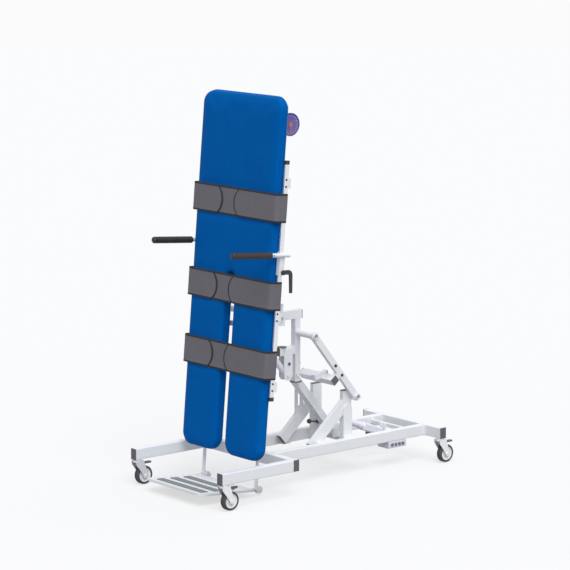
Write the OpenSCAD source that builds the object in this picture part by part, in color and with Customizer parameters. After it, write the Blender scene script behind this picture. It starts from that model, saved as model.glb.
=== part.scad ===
// Split leg medical tilt table: a pad table with two leg sections on a parallel lift,
// set almost upright above a castor base, as in the photograph.
// Millimetres. The patient side is -Y, the lift mechanism +Y, the near side of the photo +X, floor z = 0.

/* [View] */
// Node to draw, or all
// Facets of round shapes
$fn = 48; // [24:8:96]

/* [Base frame] */
// Length of the base over its front end caps, mm
base_length = 1630; // [1500:10:1760]
// Width over the two front legs and their cross-member, mm
base_width = 776; // [760:2:900]
// Height of the top of the base tubes above the floor, mm
base_top = 200; // [195:1:215]
// Height of the base tube section, mm
base_tube_h = 60; // [50:1:62]
// Width of the base tube section, mm
base_tube_w = 40; // [30:1:50]
// Wall of the base tubes, mm
base_wall = 3; // [2:0.5:4]
// Length of a front leg with its end cap, mm
front_leg_length = 475; // [400:5:520]
// Width over the two long rails, mm
rail_spread = 387; // [380:1:460]
// Length of the rear cross-member over its caps, mm
rear_cross_length = 642; // [560:2:760]
// Thickness of every tube end cap, mm
cap_t = 4; // [2:0.5:6]

/* [Castors] */
// Wheel diameter, mm
wheel_d = 100; // [75:1:125]
// Wheel width, mm
wheel_w = 34; // [20:1:36]
// Trail of the axle behind the swivel axis, mm
castor_trail = 36; // [25:1:45]
// Distance of a front swivel axis from the end of its leg, mm
castor_front_inset = 30; // [25:1:60]
// Distance between the two rear swivel axes, mm
castor_rear_spread = 596; // [450:2:700]
// Length of a brake pedal, mm
pedal_length = 60; // [40:1:60]

/* [Lift] */
// Angle of the lift links above the horizontal as built, degrees
lift_angle = 51.1; // [49:0.1:53]
// Length of a lift link between its pivots, mm
link_length = 470; // [450:1:490]
// Height of the upper base pivot above the floor, mm
upper_pivot_z = 418; // [410:1:430]
// Height between the upper and the lower pivot, mm
pivot_drop = 228; // [215:1:235]
// Front face of the lift columns, from the middle of the base, mm
column_y = 222; // [200:1:240]
// Depth of a column and of a brace, mm
column_depth = 60; // [50:1:66]
// Width of a column and of a brace, mm
column_width = 25; // [20:1:30]
// Width over the two columns, mm
column_spread = 272; // [264:1:290]
// Height of the column caps above the floor, mm
column_top = 458; // [450:1:480]
// Outer diameter of the pivot tubes of the upper link and of the tilt axis, mm
pivot_tube_d = 32; // [28:1:34]
// Depth of the upper link section, mm
link_depth = 36; // [30:1:40]
// Width of the upper link section, mm
link_width = 25; // [20:1:30]
// Width of the lower link section, mm
arm_width = 50; // [44:1:54]
// Side of the square cross tube under the upper link, mm
bar_side = 40; // [30:1:44]
// Length of the cross tube under the upper link over its caps, mm
bar_length = 271; // [240:1:290]

/* [Post] */
// Side of the square lift post, mm
post_w = 35; // [30:1:40]
// Underside of the post above the floor, mm
post_low = 518; // [505:1:525]
// Underside of the head tube above the floor, mm
head_z = 862; // [845:1:870]
// Height of the head tube, mm
head_h = 46; // [40:1:50]
// Reach of the head tube in front of the post axis, with its cap, mm
head_reach = 293; // [270:1:296]
// Reach of the head tube behind the post axis, with its cap, mm
head_tail = 33; // [25:1:60]
// Tilt axis in front of the post axis, mm
tilt_reach = 321; // [318:1:330]
// Tilt axis above the floor, mm
tilt_z = 930; // [925:1:945]
// Underside of the actuator arm above the floor, mm
arm_z = 670; // [660:1:690]
// Height of the actuator arm, mm
arm_h = 44; // [36:1:50]
// Reach of the actuator arm in front of the post axis, mm
arm_reach = 128; // [110:1:140]

/* [Table] */
// Lean of the table from the vertical, degrees
lean = 5; // [3:0.5:7]
// Length of the pads over the whole table, mm
pad_length = 1900; // [1860:10:2000]
// Width of the pads, mm
pad_width = 650; // [640:5:700]
// Thickness of the pads at their edge, mm
pad_t = 60; // [50:1:66]
// Rise of the crown in front of the pads, mm
pad_crown = 4; // [2:0.5:6]
// Radius of the outer pad corners, mm
pad_corner = 72; // [30:1:80]
// Length of the two leg pads, mm
leg_pad_length = 868; // [850:1:900]
// Gap between the two leg pads, mm
leg_gap = 70; // [50:1:90]
// Foot end of the pads above the floor, mm
foot_z = 202; // [198:1:206]
// Front face of the pads at the foot end, in front of the middle of the base, mm
foot_y = 528; // [524:1:532]
// Thickness of the boards behind the pads, mm
board_t = 12; // [9:1:15]
// Side of the square side tubes and cross tubes, mm
side_tube = 25; // [22:1:28]
// Width over the two side tubes, mm
side_spread = 528; // [524:1:534]
// Side of the square leg section tubes, mm
leg_tube = 25; // [24:1:30]
// Distance between the axes of the two leg section tubes, mm
leg_tube_spread = 444; // [420:1:460]

/* [Side rails] */
// Upper end of the rail above the handle axis, mm
rail_over = 487; // [467:10:637]
// Height of the rail section, mm
rail_h = 25; // [20:1:30]
// Thickness of the rail section, mm
rail_t = 10; // [8:1:12]
// Lower end of the rail, from the foot end of the pads, mm
rail_start = 327; // [300:1:340]
// Gap between pad edge and rail, mm
rail_gap = 8; // [7:0.5:12]

/* [Straps] */
// Width of a patient strap, mm
strap_width = 150; // [80:1:180]
// Thickness of one strap layer, mm
strap_t = 3.5; // [2:0.5:5]

/* [Handles] */
// Height of the handle axis above the top of the leg pads, mm
handle_over = 222; // [217:1:232]
// Length of a hand grip, mm
grip_length = 260; // [120:1:280]
// How far the far handle is set back from the near one, mm
handle_setback = 39; // [0:1:42]
// Diameter of a hand grip, mm
grip_d = 36; // [28:1:40]
// Diameter of a handle tube, mm
handle_tube_d = 22; // [18:1:24]

/* [Footplate] */
// Width of the footplate, mm
plate_width = 470; // [464:1:500]
// Depth of the footplate from its front edge to its rear edge, mm
plate_depth = 354; // [300:1:380]
// Thickness of the footplate, mm
plate_t = 12; // [8:1:16]
// Middle of the footplate below the foot end of the pads, mm
plate_drop = 164; // [150:1:168]
// Diameter of the footplate posts, mm
foot_post_d = 18; // [14:1:20]

/* [Hidden] */
// Common clearances and overrun
overrun = 1;
running = 0.05;
loose = 0.3;
side_gap = 1;
half = 0.5;

// Base places
front_y = -base_length * half;
rear_y = base_length * half;
base_low = base_top - base_tube_h;
base_mid = base_top - base_tube_h * half;
cross_y0 = front_y + front_leg_length;
cross_y1 = cross_y0 + base_tube_w;
rear_cross_y0 = rear_y - base_tube_w;
rail_in = rail_spread * half - base_tube_w;
leg_axis_x = (base_width - base_tube_w) * half;

// Castor places and sizes
castor_front_y = front_y + castor_front_inset;
castor_rear_y = rear_cross_y0 + base_tube_w * half;
castor_axle_d = 8;
castor_axle_head = 3;
castor_wall = 4;
castor_gap = 3;
castor_seat_d = 40;
castor_seat_t = 6;
castor_top_t = 9;
castor_top_d = 50;
castor_neck = 20;
castor_head_r = 15;
castor_pin_d = 20;
tyre_t = 12;
tyre_round = 6;
tyre_round_shares = [0.3, 0.4];
hub_inset = 3;
hub_cap_d = 34;
pedal_w = 26;
pedal_t = 7;
pedal_pivot_y = 26;
pedal_drop = 10;
pedal_pin_d = 6;
pedal_boss_d = 12;
wheel_r = wheel_d * half;
fork_half = wheel_w * half + castor_gap;
castor_x = [leg_axis_x, -leg_axis_x, castor_rear_spread * half, -castor_rear_spread * half];
castor_y = [castor_front_y, castor_front_y, castor_rear_y, castor_rear_y];
castor_top = base_low - castor_seat_t - loose;

// Lift pivots in the side view, y then z
pivot_a = [column_y + column_depth + pivot_tube_d * half, upper_pivot_z];
link_dir = [-cos(lift_angle), sin(lift_angle)];
pivot_u = pivot_a + link_length * link_dir;
pivot_b = pivot_a - [0, pivot_drop];
pivot_w = pivot_u - [0, pivot_drop];
column_in = column_spread * half - column_width;
column_out = column_spread * half;
link_in = column_out + 2 * side_gap;
link_out = link_in + link_width;
pivot_tube_wall = 4;
pivot_proud = 14;
post_pivot_proud = 7;
hub_wall = 6;
link_wall = 3;

// Cross tube under the upper link and the short tube on it
bar_place = 187.5;
bar_tab = 17.6;
bar_tab_w = 30;
bar_drop = link_depth * half + bar_tab + bar_side * half;
bar_proud = 7;
bar_out = link_out + bar_proud;
bar_in = bar_out - bar_length;
stop_side = 30;
stop_length = 88;
stop_x = 75;
stop_rise = 26;
stop_back = 14;
stop_slope = 10;

// Lower link, its pivots and the actuator lever on it
arm_x = -20;
arm_far_x = arm_x - arm_width;
arm_mid_x = arm_x - arm_width * half;
arm_depth = 40;
arm_hub_d = 44;
lower_shaft_d = 20;
ear_t = 8;
ear_gap = 2;
ear_h = 44;
lift_cross_gap = 40;
lift_cross_h = 30;
w_pin_d = 16;
w_pin_play = 0.5;
w_pin_head = 26;
w_pin_head_t = 6;
w_bush_d = 26;
lever_r = 85;
lever_ahead = 38.9;
lug_t = 7;
lug_foot = 30;
lug_boss_d = 20;

// Column braces, plates beside them, slotted guard and release lever
brace_y = -5;
brace_z = 204;
brace_lean = 41.5;
brace_back = 12;
brace_wall = 3;
brace_block_y = 30;
brace_block = 50;
plate_leg_t = 6;
plate_leg_top = 379;
guard_y = 98;
guard_len = 50;
guard_top = 440;
guard_t = 12;
guard_slot_w = 22;
guard_slot_margin = 16;
lever_y = 250;
lever_z = 243;
release_x = -94;
release_rod_d = 8;
release_knob_d = 27;
release_length = 73;
release_rise = 9.5;
release_boss_d = 22;
release_pin_d = 10;

// Lift actuator: rear pivot, then sizes along its length
lift_act_pivot = [668, 132];
act_pin_d = 10;
act_eye_w = 18;
act_eye_r = 14;
act_tube_d = 36;
act_rod_d = 20;
lift_pin = pivot_b + lever_r * [-cos(lift_angle + lever_ahead), sin(lift_angle + lever_ahead)];
lift_act_vec = lift_pin - lift_act_pivot;
lift_act_len = norm(lift_act_vec);
lift_act_angle = atan2(lift_act_vec[1], -lift_act_vec[0]);
lift_case_w = 62;
lift_case_h = 45;
lift_case_len = 130;
lift_case_start = 26;
lift_collar_d = 44;
lift_collar_len = 24;
lift_tube_len = 130;
lift_rod_in = 60;
case_round = 8;
crossbar_w = 20;
crossbar_y = 694;
crossbar_drop = 18;

// Control box under the near rail
control_w = 90;
control_len = 130;
control_h = 38;
control_y = 505;
control_round = 6;
socket_d = 16;
socket_t = 6;
socket_count = 4;
socket_pitch = 26;
socket_start = 26;

// Post and what is fixed on it
post_y = pivot_u[0];
post_x = post_w * half;
post_wall = 3;
head_mid = head_z + head_h * half;
post_foot_d = 66;
rest_pad_d = 52;
rest_pad_t = 3;
rest_pad_y = 98;
post_bolt_z = 615;
bolt_af = 17;
bolt_t = 10;
hanger_bolt_y = -63;
hanger_bolt_z = 623;
cheek_t = 10;
cheek_r = 28;
cheek_back = 110;
cheek_shares = [0.5, 0.8, 0.85];
tilt_y = post_y - tilt_reach;
hanger_t = 6;
hanger_y0 = -96;
hanger_y1 = -38;
hanger_top = 704;

// Tilt actuator: pivot on the hanger, then its sizes
tilt_act_pivot = [-67, 561];
tilt_case_r = 23;
tilt_case_w = post_w - side_gap;
tilt_tube_len = 270;
tilt_rod_in = 150;
hanger_pin_head = 20;
hanger_pin_t = 4;

// Table coordinates: x, depth d behind the pad face, length l from the foot end
cos_l = cos(lean);
sin_l = sin(lean);
function to_d(p) = (p[0] + foot_y) * cos_l - (p[1] - foot_z) * sin_l;
function to_l(p) = (p[0] + foot_y) * sin_l + (p[1] - foot_z) * cos_l;
function to_y(d, l) = -foot_y + l * sin_l + d * cos_l;
function to_z(d, l) = foot_z + l * cos_l - d * sin_l;
tilt_d = to_d([tilt_y, tilt_z]);
tilt_l = to_l([tilt_y, tilt_z]);
frame_d = pad_t + board_t;
side_mid_d = frame_d + side_tube * half;
side_out = side_spread * half;
side_in = side_out - side_tube;
leg_x = leg_tube_spread * half;
leg_mid_d = frame_d + leg_tube * half;
table_wall = 2;
side_start = 60;
side_end = 1690;
leg_start = 20;
cross_places = [680, 920, 1360, side_end - side_tube * half];
tie_places = [75, 345];
lug_l = cross_places[0];
table_pin_d = 150;
table_lug_t = 6;
table_lug_r = 14;
table_lug_bolt = 16;
table_lug_bolt_t = 5;

// Tilt yoke: the tube of the tilt axis and its side plates
yoke_t = 10;
yoke_x = side_out - yoke_t;
yoke_h = 72;
yoke_back = 172;
yoke_proud = 3;
yoke_tab_d = 140;
yoke_tab_w = 14;
yoke_tab_h = 44;

// Pads and boards
pad_gap = 4;
pad_small = 18;
pad_levels = [[1, 0.3], [0.86, 0.15], [0.56, 0.02], [0.28, 0], [0.1, 0.03], [0.02, 0.1]];
pad_edge_inset = 60;
crown_inset_shares = [0.6, 1];
crown_rise_shares = [0.7, 1];
crown_inset = 90;
board_inset = 30;
board_corner = 20;
slot_clear = 8;
slot_depth = 94;
hull_fn = 32;
thin = 0.1;

// Accessory rails
rail_x = pad_width * half + rail_gap;
rail_set = 9;
rail_back = frame_d - rail_set;
rail_d = rail_back - rail_h;
rail_cap_len = 20;
rail_cap_wrap = 1.5;
rail_bracket_t = 8;
rail_bracket_w = 50;
handle_l = leg_pad_length + handle_over;
rail_length = handle_l + rail_over - rail_start;
strap_low_l = 514;
bracket_drop = 114;
bracket_below = 325;
bracket_above = 370;
rail_bracket_places = [strap_low_l - bracket_drop, handle_l - bracket_below, handle_l + bracket_above];

// Straps, from the foot end
strap_below = 215;
strap_above = 241;
strap_places = [strap_low_l, handle_l - strap_below, handle_l + strap_above];
strap_far_tip = 90;
strap_near_tip = 0;
strap_clear = 2;
strap_in = rail_x + rail_t + strap_clear;
strap_back = rail_d + rail_h + side_gap * half;
strap_front = pad_crown + side_gap * half;
strap_hook = 14;
strap_end_r = 82;

// Handle clamps, tubes, grips and clamp levers
clamp_low = 105;
clamp_high = 15;
clamp_wall = 4;
clamp_play = 0.3;
clamp_plate = 9;
handle_proud = 4;
handle_x = rail_x + rail_t + clamp_play + clamp_plate + handle_proud;
handle_tail = 92;
handle_show = 30;
grip_rib_count = 5;
grip_rib_h = 1.2;
grip_rib_shares = [0, 0.12, 0.24, 0.36];
grip_end = 6;
grip_end_shares = [0.3, 0.5];
lever_gap = 1;
lever_x = rail_x + rail_t + clamp_play + clamp_plate + lever_gap;
lever_thick = 12;
lever_hub_d = 24;
lever_down = 90;
lever_d = 58;
lever_arm_w = 14;
lever_reach = 47;
lever_drop = 107;
lever_bend = 10;
lever_screw_d = 10;
lever_screw_head = 16;
lever_screw_head_t = 4;

// Angle dial on a stay above the last cross tube
dial_l = 1756;
dial_r = 60;
dial_x = 233;
dial_t = 18;
dial_rim = 5;
dial_d = frame_d + dial_r + side_gap;
dial_recess = 3;
stay_over = 29;
stay_len = dial_l + stay_over - side_end;
needle_w = 6;
needle_len = 44;
needle_t = 2;
needle_hub_d = 24;
needle_pin_d = 5;

// Footplate
plate_rear = 60;
plate_front = plate_rear - plate_depth;
plate_corner = 40;
plate_rim = 3;
plate_rim_w = 14;
strip_w = 44;
strip_t = 4.5;
strip_half = 190;
strip_places = [-232, -143, -54];
knuckle_r = 20;
knuckle_w = 18;
knuckle_d = 104;
knuckle_pin_d = 12;
arm_gap = 0.5;
plate_arm_w = 12;
plate_arm_r = 16;
post_in = 200;
bush_t = 6;
bush_in = 24;
foot_post_low = plate_drop - knuckle_r * half;
pin_head_t = 2;

// Middle of the whole table along Y, from its own front and rear ends
rear_end = castor_rear_y + castor_trail + wheel_r;
front_end = to_y(plate_front, -plate_drop - plate_t * half);
mid_y = (rear_end + front_end) * half;

// Colours
white = [0.93, 0.94, 0.95];
blue = [0.0, 0.33, 0.62];
dark = [0.12, 0.12, 0.13];
grey = [0.40, 0.40, 0.41];
lavender = [0.62, 0.61, 0.78];
steel = [0.72, 0.73, 0.75];
violet = [0.27, 0.24, 0.62];
orange = [0.75, 0.35, 0.22];
silver = [0.82, 0.83, 0.86];

// Shared shapes
module place() translate([0, -mid_y, 0]) children();
module both() {
    children();
    mirror([1, 0, 0]) children();
}
module span(a, b) translate(a) cube(b - a);
// A hollow tube centred on the origin, open along one axis
module hollow(size, wall, axis) difference() {
    cube(size, center = true);
    cube([for (i = [0 : 2]) size[i] + (i == axis ? overrun : -2 * wall)], center = true);
}
// A plug cap whose flange faces +Z, closing a tube of outside a by b
module plug(a, b, wall) {
    translate([-a * half, -b * half, 0]) cube([a, b, cap_t]);
    translate([-a * half + wall + running, -b * half + wall + running, -cap_t * 2])
        cube([a - 2 * wall - 2 * running, b - 2 * wall - 2 * running, cap_t * 2]);
}
module rod_x(d, x0, x1) translate([x0, 0, 0]) rotate([0, 90, 0]) cylinder(d = d, h = x1 - x0);
module pipe_x(od, id, x0, x1) difference() {
    rod_x(od, x0, x1);
    rod_x(id, x0 - overrun, x1 + overrun);
}
// Moves to a point of the side view
module at(p) translate([0, p[0], p[1]]) children();
// Moves into the leaning table: x, d, l
module on_table() translate([0, -foot_y, foot_z]) rotate([-lean, 0, 0]) children();
// Turns local Z to a direction of the side view, given by its angle above -Y
module aim(angle) rotate([90 - angle, 0, 0]) children();
module rounded(x0, y0, x1, y1, r) {
    translate([x0 + r, y0]) square([x1 - x0 - 2 * r, y1 - y0]);
    translate([x0, y0 + r]) square([x1 - x0, y1 - y0 - 2 * r]);
    for (x = [x0 + r, x1 - r], y = [y0 + r, y1 - r]) translate([x, y]) circle(r = r);
}

// Base frame
module front_legs() color(white) place() both()
    translate([leg_axis_x, (front_y + cap_t + cross_y0) * half, base_mid])
        hollow([base_tube_w, front_leg_length - cap_t, base_tube_h], base_wall, 1);
module cross_members() color(white) place() {
    translate([0, (cross_y0 + cross_y1) * half, base_mid])
        hollow([base_width - 2 * cap_t, base_tube_w, base_tube_h], base_wall, 0);
    translate([0, (rear_cross_y0 + rear_y) * half, base_mid])
        hollow([rear_cross_length - 2 * cap_t, base_tube_w, base_tube_h], base_wall, 0);
    translate([0, column_y + column_depth + lift_cross_gap + base_tube_w * half, base_low + lift_cross_h * half])
        hollow([2 * rail_in, base_tube_w, lift_cross_h], base_wall, 0);
}
module long_rails() color(white) place() both()
    translate([rail_in + base_tube_w * half, (cross_y1 + rear_cross_y0) * half, base_mid])
        hollow([base_tube_w, rear_cross_y0 - cross_y1, base_tube_h], base_wall, 1);
module base_end_caps() color(dark) place() both() {
    translate([leg_axis_x, front_y + cap_t, base_mid]) rotate([90, 0, 0])
        plug(base_tube_w, base_tube_h, base_wall);
    translate([base_width * half - cap_t, (cross_y0 + cross_y1) * half, base_mid]) rotate([0, 90, 0])
        plug(base_tube_h, base_tube_w, base_wall);
    translate([rear_cross_length * half - cap_t, (rear_cross_y0 + rear_y) * half, base_mid]) rotate([0, 90, 0])
        plug(base_tube_h, base_tube_w, base_wall);
    translate([column_out - column_width * half, column_y + column_depth * half, column_top - cap_t])
        plug(column_width, column_depth, base_wall);
    at_brace() rotate([90, 0, 0]) translate([column_width * half, -column_depth * half, 0])
        plug(column_width, column_depth, base_wall);
}
// The rear crossbar with the two lugs and the pin that hold the lift actuator
module actuator_crossbar() color(white) place() {
    crossbar_z = base_top - crossbar_drop - crossbar_w * half;
    translate([0, crossbar_y, crossbar_z]) hollow([2 * rail_in, crossbar_w, crossbar_w], table_wall, 0);
    for (side = [-1, 1]) translate([arm_mid_x + side * (act_eye_w + lug_t + side_gap) * half, 0, 0]) {
        translate([-lug_t * half, lift_act_pivot[0], lift_act_pivot[1]])
            cube([lug_t, crossbar_y - crossbar_w * half - lift_act_pivot[0],
                crossbar_z + crossbar_w * half - lift_act_pivot[1]]);
        at(lift_act_pivot) rod_x(lug_boss_d, -lug_t * half, lug_t * half);
    }
    at(lift_act_pivot) rod_x(act_pin_d, arm_mid_x - act_eye_w * half - lug_t, arm_mid_x + act_eye_w * half + lug_t);
}
module lift_columns() color(white) place() {
    both() {
        translate([column_out - column_width * half, column_y + column_depth * half,
            (base_low + column_top - cap_t) * half])
            hollow([column_width, column_depth, column_top - cap_t - base_low], base_wall, 2);
        span([column_out, column_y, base_low], [rail_in, column_y + column_depth, base_top]);
        // The round-headed plate beside the column
        span([column_out, column_y, base_top],
            [column_out + plate_leg_t, column_y + column_depth, plate_leg_top - column_depth * half]);
        translate([column_out, column_y + column_depth * half, plate_leg_top - column_depth * half])
            rod_x(column_depth, 0, plate_leg_t);
    }
    release_pin();
}
// The pin on the far column that the release lever turns on
module release_pin() translate([0, lever_y, lever_z]) {
    rod_x(release_pin_d, -column_in, release_x + release_rod_d + pin_head_t);
    rod_x((release_boss_d + release_pin_d) * half, release_x + release_rod_d + loose,
        release_x + release_rod_d + pin_head_t);
}
// Moves to the lower end of a brace, with local Y along it and local Z square to it
module at_brace() translate([column_in, brace_y, brace_z]) rotate([brace_lean, 0, 0])
    translate([0, -brace_back, 0]) children();
brace_long = (column_y - brace_y) / cos(brace_lean) + column_depth;
// A brace is a slanted tube between rail and column, with a slotted guard on the far one
module column_braces() color(white) place() {
    both() {
        difference() {
            at_brace() translate([0, 0, -column_depth]) cube([column_width, brace_long, column_depth]);
            at_brace() translate([brace_wall, -overrun, brace_wall - column_depth])
                cube([column_width - 2 * brace_wall, brace_long, column_depth - 2 * brace_wall]);
            span([0, column_y, 0], [column_spread, 3 * column_y, column_top]);
        }
        span([column_out - brace_wall * half, brace_block_y, base_low],
            [rail_in, brace_block_y + brace_block, base_top]);
    }
    difference() {
        span([-column_in - guard_t, guard_y, brace_z], [-column_in, guard_y + guard_len, guard_top]);
        slot_low = brace_z + (guard_y + guard_len - brace_y) * tan(brace_lean) + guard_slot_margin * half;
        span([-column_out, guard_y + (guard_len - guard_slot_w) * half, slot_low],
            [0, guard_y + (guard_len + guard_slot_w) * half, guard_top - guard_slot_margin]);
        mirror([1, 0, 0]) at_brace() translate([-overrun, -column_depth, -column_depth])
            cube([column_width + 2 * overrun, 2 * brace_long, column_depth]);
        mirror([1, 0, 0]) at_brace() translate([-overrun, -column_depth, -2 * column_depth])
            cube([column_width + 2 * overrun, 2 * brace_long, column_depth + overrun]);
    }
}
// The tube of the upper pivot behind the near column, and the ears and shaft of the lower pivot
module base_pivots() color(white) place() {
    difference() {
        union() {
            at(pivot_a) rod_x(pivot_tube_d, column_in - loose * half, link_out + pivot_proud);
            span([column_in, column_y + column_depth, pivot_a[1] - pivot_tube_d * half],
                [column_out, pivot_a[0], pivot_a[1] + pivot_tube_d * half]);
        }
        at(pivot_a) rod_x(pivot_tube_d - 2 * pivot_tube_wall, 0, 2 * link_out);
    }
    for (x = [arm_far_x - ear_gap - ear_t, arm_x + ear_gap])
        span([x, pivot_b[0] - lower_shaft_d, base_low + lift_cross_h - ear_t],
            [x + ear_t, column_y + column_depth + lift_cross_gap, pivot_b[1] + ear_h * half]);
    at(pivot_b) rod_x(lower_shaft_d, arm_far_x - ear_gap - ear_t, arm_x + ear_gap + ear_t);
}
module release_lever() color(dark) place() translate([0, lever_y, lever_z]) difference() {
    union() {
        rod_x(release_boss_d, -column_in + side_gap, release_x + release_rod_d);
        translate([release_x, 0, 0]) rotate([90 - release_rise, 0, 0]) {
            cylinder(d = release_rod_d, h = release_length);
            translate([0, 0, release_length]) sphere(d = release_knob_d);
        }
    }
    rod_x(release_pin_d + 2 * running, -column_out, 0);
}
module control_box() color(lavender) place()
    translate([rail_in + base_tube_w - control_w, control_y + control_len, base_low - control_h])
        rotate([90, 0, 0]) linear_extrude(control_len) rounded(0, 0, control_w, control_h, control_round);
module control_sockets() color(dark) place()
    for (i = [0 : socket_count - 1])
        translate([rail_in + base_tube_w, control_y + socket_start + i * socket_pitch, base_low - control_h * half])
            rod_x(socket_d, 0, socket_t);

// Castors, drawn round their swivel axis with the wheel trailing to +Y
module at_castor(i) place() translate([castor_x[i], castor_y[i], 0]) children();
module castor_seats() color(steel) for (i = [0 : 3]) at_castor(i) {
    translate([0, 0, base_low - castor_seat_t]) cylinder(d = castor_seat_d, h = castor_seat_t);
    translate([0, 0, castor_top - castor_top_t + loose])
        cylinder(d = castor_pin_d, h = castor_seat_t + castor_top_t);
}
module fork_cheek() rotate([90, 0, 90]) linear_extrude(castor_wall) union() {
    translate([castor_trail, wheel_r]) circle(r = castor_head_r);
    polygon([[-castor_top_d * half, castor_top], [-castor_top_d * half, castor_top - castor_neck],
        [castor_trail - castor_head_r, wheel_r], [castor_trail + castor_head_r, wheel_r],
        [castor_top_d * half, castor_top - castor_top_t], [castor_top_d * half, castor_top]]);
}
module castor_fork(i) color(silver) at_castor(i) {
    difference() {
        union() {
            translate([0, 0, castor_top - castor_top_t])
                cylinder(r = fork_half + castor_wall, h = castor_top_t);
            intersection() {
                translate([0, 0, castor_top - castor_top_t]) cylinder(d = castor_top_d, h = castor_top_t);
                cube([castor_top_d, castor_top_d, 2 * base_top], center = true);
            }
            translate([fork_half, 0, 0]) fork_cheek();
            translate([-fork_half - castor_wall, 0, 0]) fork_cheek();
        }
        translate([0, 0, castor_top - castor_top_t - overrun])
            cylinder(d = castor_pin_d + 2 * running, h = 2 * castor_top_t);
    }
    translate([0, castor_trail, wheel_r]) {
        rod_x(castor_axle_d, -fork_half - castor_wall, fork_half + castor_wall);
        both() rod_x(2 * castor_axle_d, fork_half + castor_wall, fork_half + castor_wall + castor_axle_head);
    }
    translate([0, pedal_pivot_y, castor_top - castor_top_t - pedal_drop])
        rod_x(pedal_pin_d, -fork_half - castor_wall, fork_half + castor_wall);
}
module castor_wheel(i) at_castor(i) translate([0, castor_trail, wheel_r]) rotate([0, 90, 0]) {
    color(dark) rotate_extrude() for (side = [0, 1]) mirror([0, side]) polygon([
        [wheel_r - tyre_t, 0], [wheel_r - tyre_t, wheel_w * half], [wheel_r - tyre_round, wheel_w * half],
        [wheel_r - tyre_round * tyre_round_shares[0], (wheel_w * half) - tyre_round * tyre_round_shares[1]],
        [wheel_r, wheel_w * half - tyre_round], [wheel_r, 0]]);
    color(white) difference() {
        union() {
            cylinder(r = wheel_r - tyre_t - running, h = wheel_w - 2 * hub_inset, center = true);
            cylinder(d = hub_cap_d, h = wheel_w + castor_gap, center = true);
        }
        cylinder(d = castor_axle_d + 2 * running, h = 2 * wheel_w, center = true);
    }
}
module castor_pedal(i) color(dark) at_castor(i)
    translate([0, pedal_pivot_y, castor_top - castor_top_t - pedal_drop]) difference() {
        union() {
            rod_x(pedal_boss_d, -pedal_w * half, pedal_w * half);
            translate([-pedal_w * half, 0, -pedal_t * half]) cube([pedal_w, pedal_length - pedal_w * half, pedal_t]);
            translate([0, pedal_length - pedal_w * half, -pedal_t * half]) cylinder(d = pedal_w, h = pedal_t);
        }
        rod_x(pedal_pin_d + 2 * running, -pedal_w, pedal_w);
    }

// Lift links
module upper_link() color(white) place() at(pivot_a) aim(lift_angle) difference() {
    union() {
        for (z = [0, link_length]) translate([0, 0, z]) rod_x(pivot_tube_d + 2 * hub_wall, link_in, link_out);
        span([link_in, -link_depth * half, 0], [link_out, link_depth * half, link_length]);
        span([link_in, -link_depth * half - bar_tab, bar_place - bar_tab_w * half],
            [link_out, -link_depth * half, bar_place + bar_tab_w * half]);
    }
    for (z = [0, link_length]) translate([0, 0, z])
        rod_x(pivot_tube_d + 2 * running, link_in - overrun, link_out + overrun);
    span([link_in + link_wall, -link_depth * half + link_wall, pivot_tube_d],
        [link_out - link_wall, link_depth * half - link_wall, link_length - pivot_tube_d]);
}
// Middle of the cross tube in the side view
bar_mid = pivot_a + bar_place * link_dir - bar_drop * [sin(lift_angle), cos(lift_angle)];
module at_stop() at(bar_mid) translate([0, stop_back, stop_rise]) rotate([stop_slope, 0, 0]) children();
module link_cross_tube() color(white) place() {
    difference() {
        union() {
            at(bar_mid) aim(lift_angle) translate([(bar_in + bar_out) * half, 0, 0])
                cube([bar_length - 2 * cap_t, bar_side, bar_side], center = true);
            at_stop() translate([stop_x, -stop_length * half, 0])
                cube([stop_side, stop_length, stop_side], center = true);
        }
        at(bar_mid) aim(lift_angle) translate([(bar_in + bar_out) * half, 0, 0])
            cube([bar_length, bar_side - 2 * base_wall, bar_side - 2 * base_wall], center = true);
    }
}
module link_tube_caps() color(dark) place() {
    at(bar_mid) aim(lift_angle) {
        translate([bar_out - cap_t, 0, 0]) rotate([0, 90, 0]) plug(bar_side, bar_side, base_wall);
        translate([bar_in + cap_t, 0, 0]) rotate([0, -90, 0]) plug(bar_side, bar_side, base_wall);
    }
    at_stop() translate([stop_x - stop_side * half, 0, -stop_side * half]) cube([stop_side, cap_t, stop_side]);
}
module lower_link() color(white) place() at(pivot_b) aim(lift_angle) {
    difference() {
        union() {
            for (z = [0, link_length]) translate([0, 0, z]) rod_x(arm_hub_d, arm_far_x, arm_x);
            span([arm_far_x, -arm_depth * half, 0], [arm_x, arm_depth * half, link_length]);
            for (side = [-1, 1]) translate([arm_mid_x + side * (act_eye_w + lug_t + 2 * side_gap) * half, 0, 0])
                lever_lug(side);
        }
        rod_x(lower_shaft_d + 2 * running, arm_far_x - overrun, arm_x + overrun);
        span([arm_far_x + link_wall, -arm_depth * half + link_wall, arm_hub_d],
            [arm_x - link_wall, arm_depth * half - link_wall, link_length - arm_hub_d]);
    }
    translate([0, 0, link_length]) {
        rod_x(w_pin_d, arm_x, post_x + w_pin_head_t + side_gap);
        rod_x(w_pin_head, post_x + side_gap, post_x + side_gap + w_pin_head_t);
        rod_x(w_pin_head, arm_far_x - w_pin_head_t, arm_far_x);
    }
}
// A lug of the actuator lever, across the arm at the actuator end pin
module lever_lug(side) {
    up = lever_r * sin(lever_ahead);
    along = lever_r * cos(lever_ahead);
    translate([-lug_t * half, 0, 0]) rotate([90, 0, 90]) linear_extrude(lug_t) polygon([
        [0, along - lug_foot], [up, along - lug_boss_d * half],
        [up, along + lug_boss_d * half], [0, along + lug_foot]]);
    translate([0, up, along]) {
        rod_x(lug_boss_d, -lug_t * half, lug_t * half);
        rotate([0, side < 0 ? 180 : 0, 0]) rod_x(act_pin_d + pin_head_t * 2, 0, lug_t * half + pin_head_t);
    }
}

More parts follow.
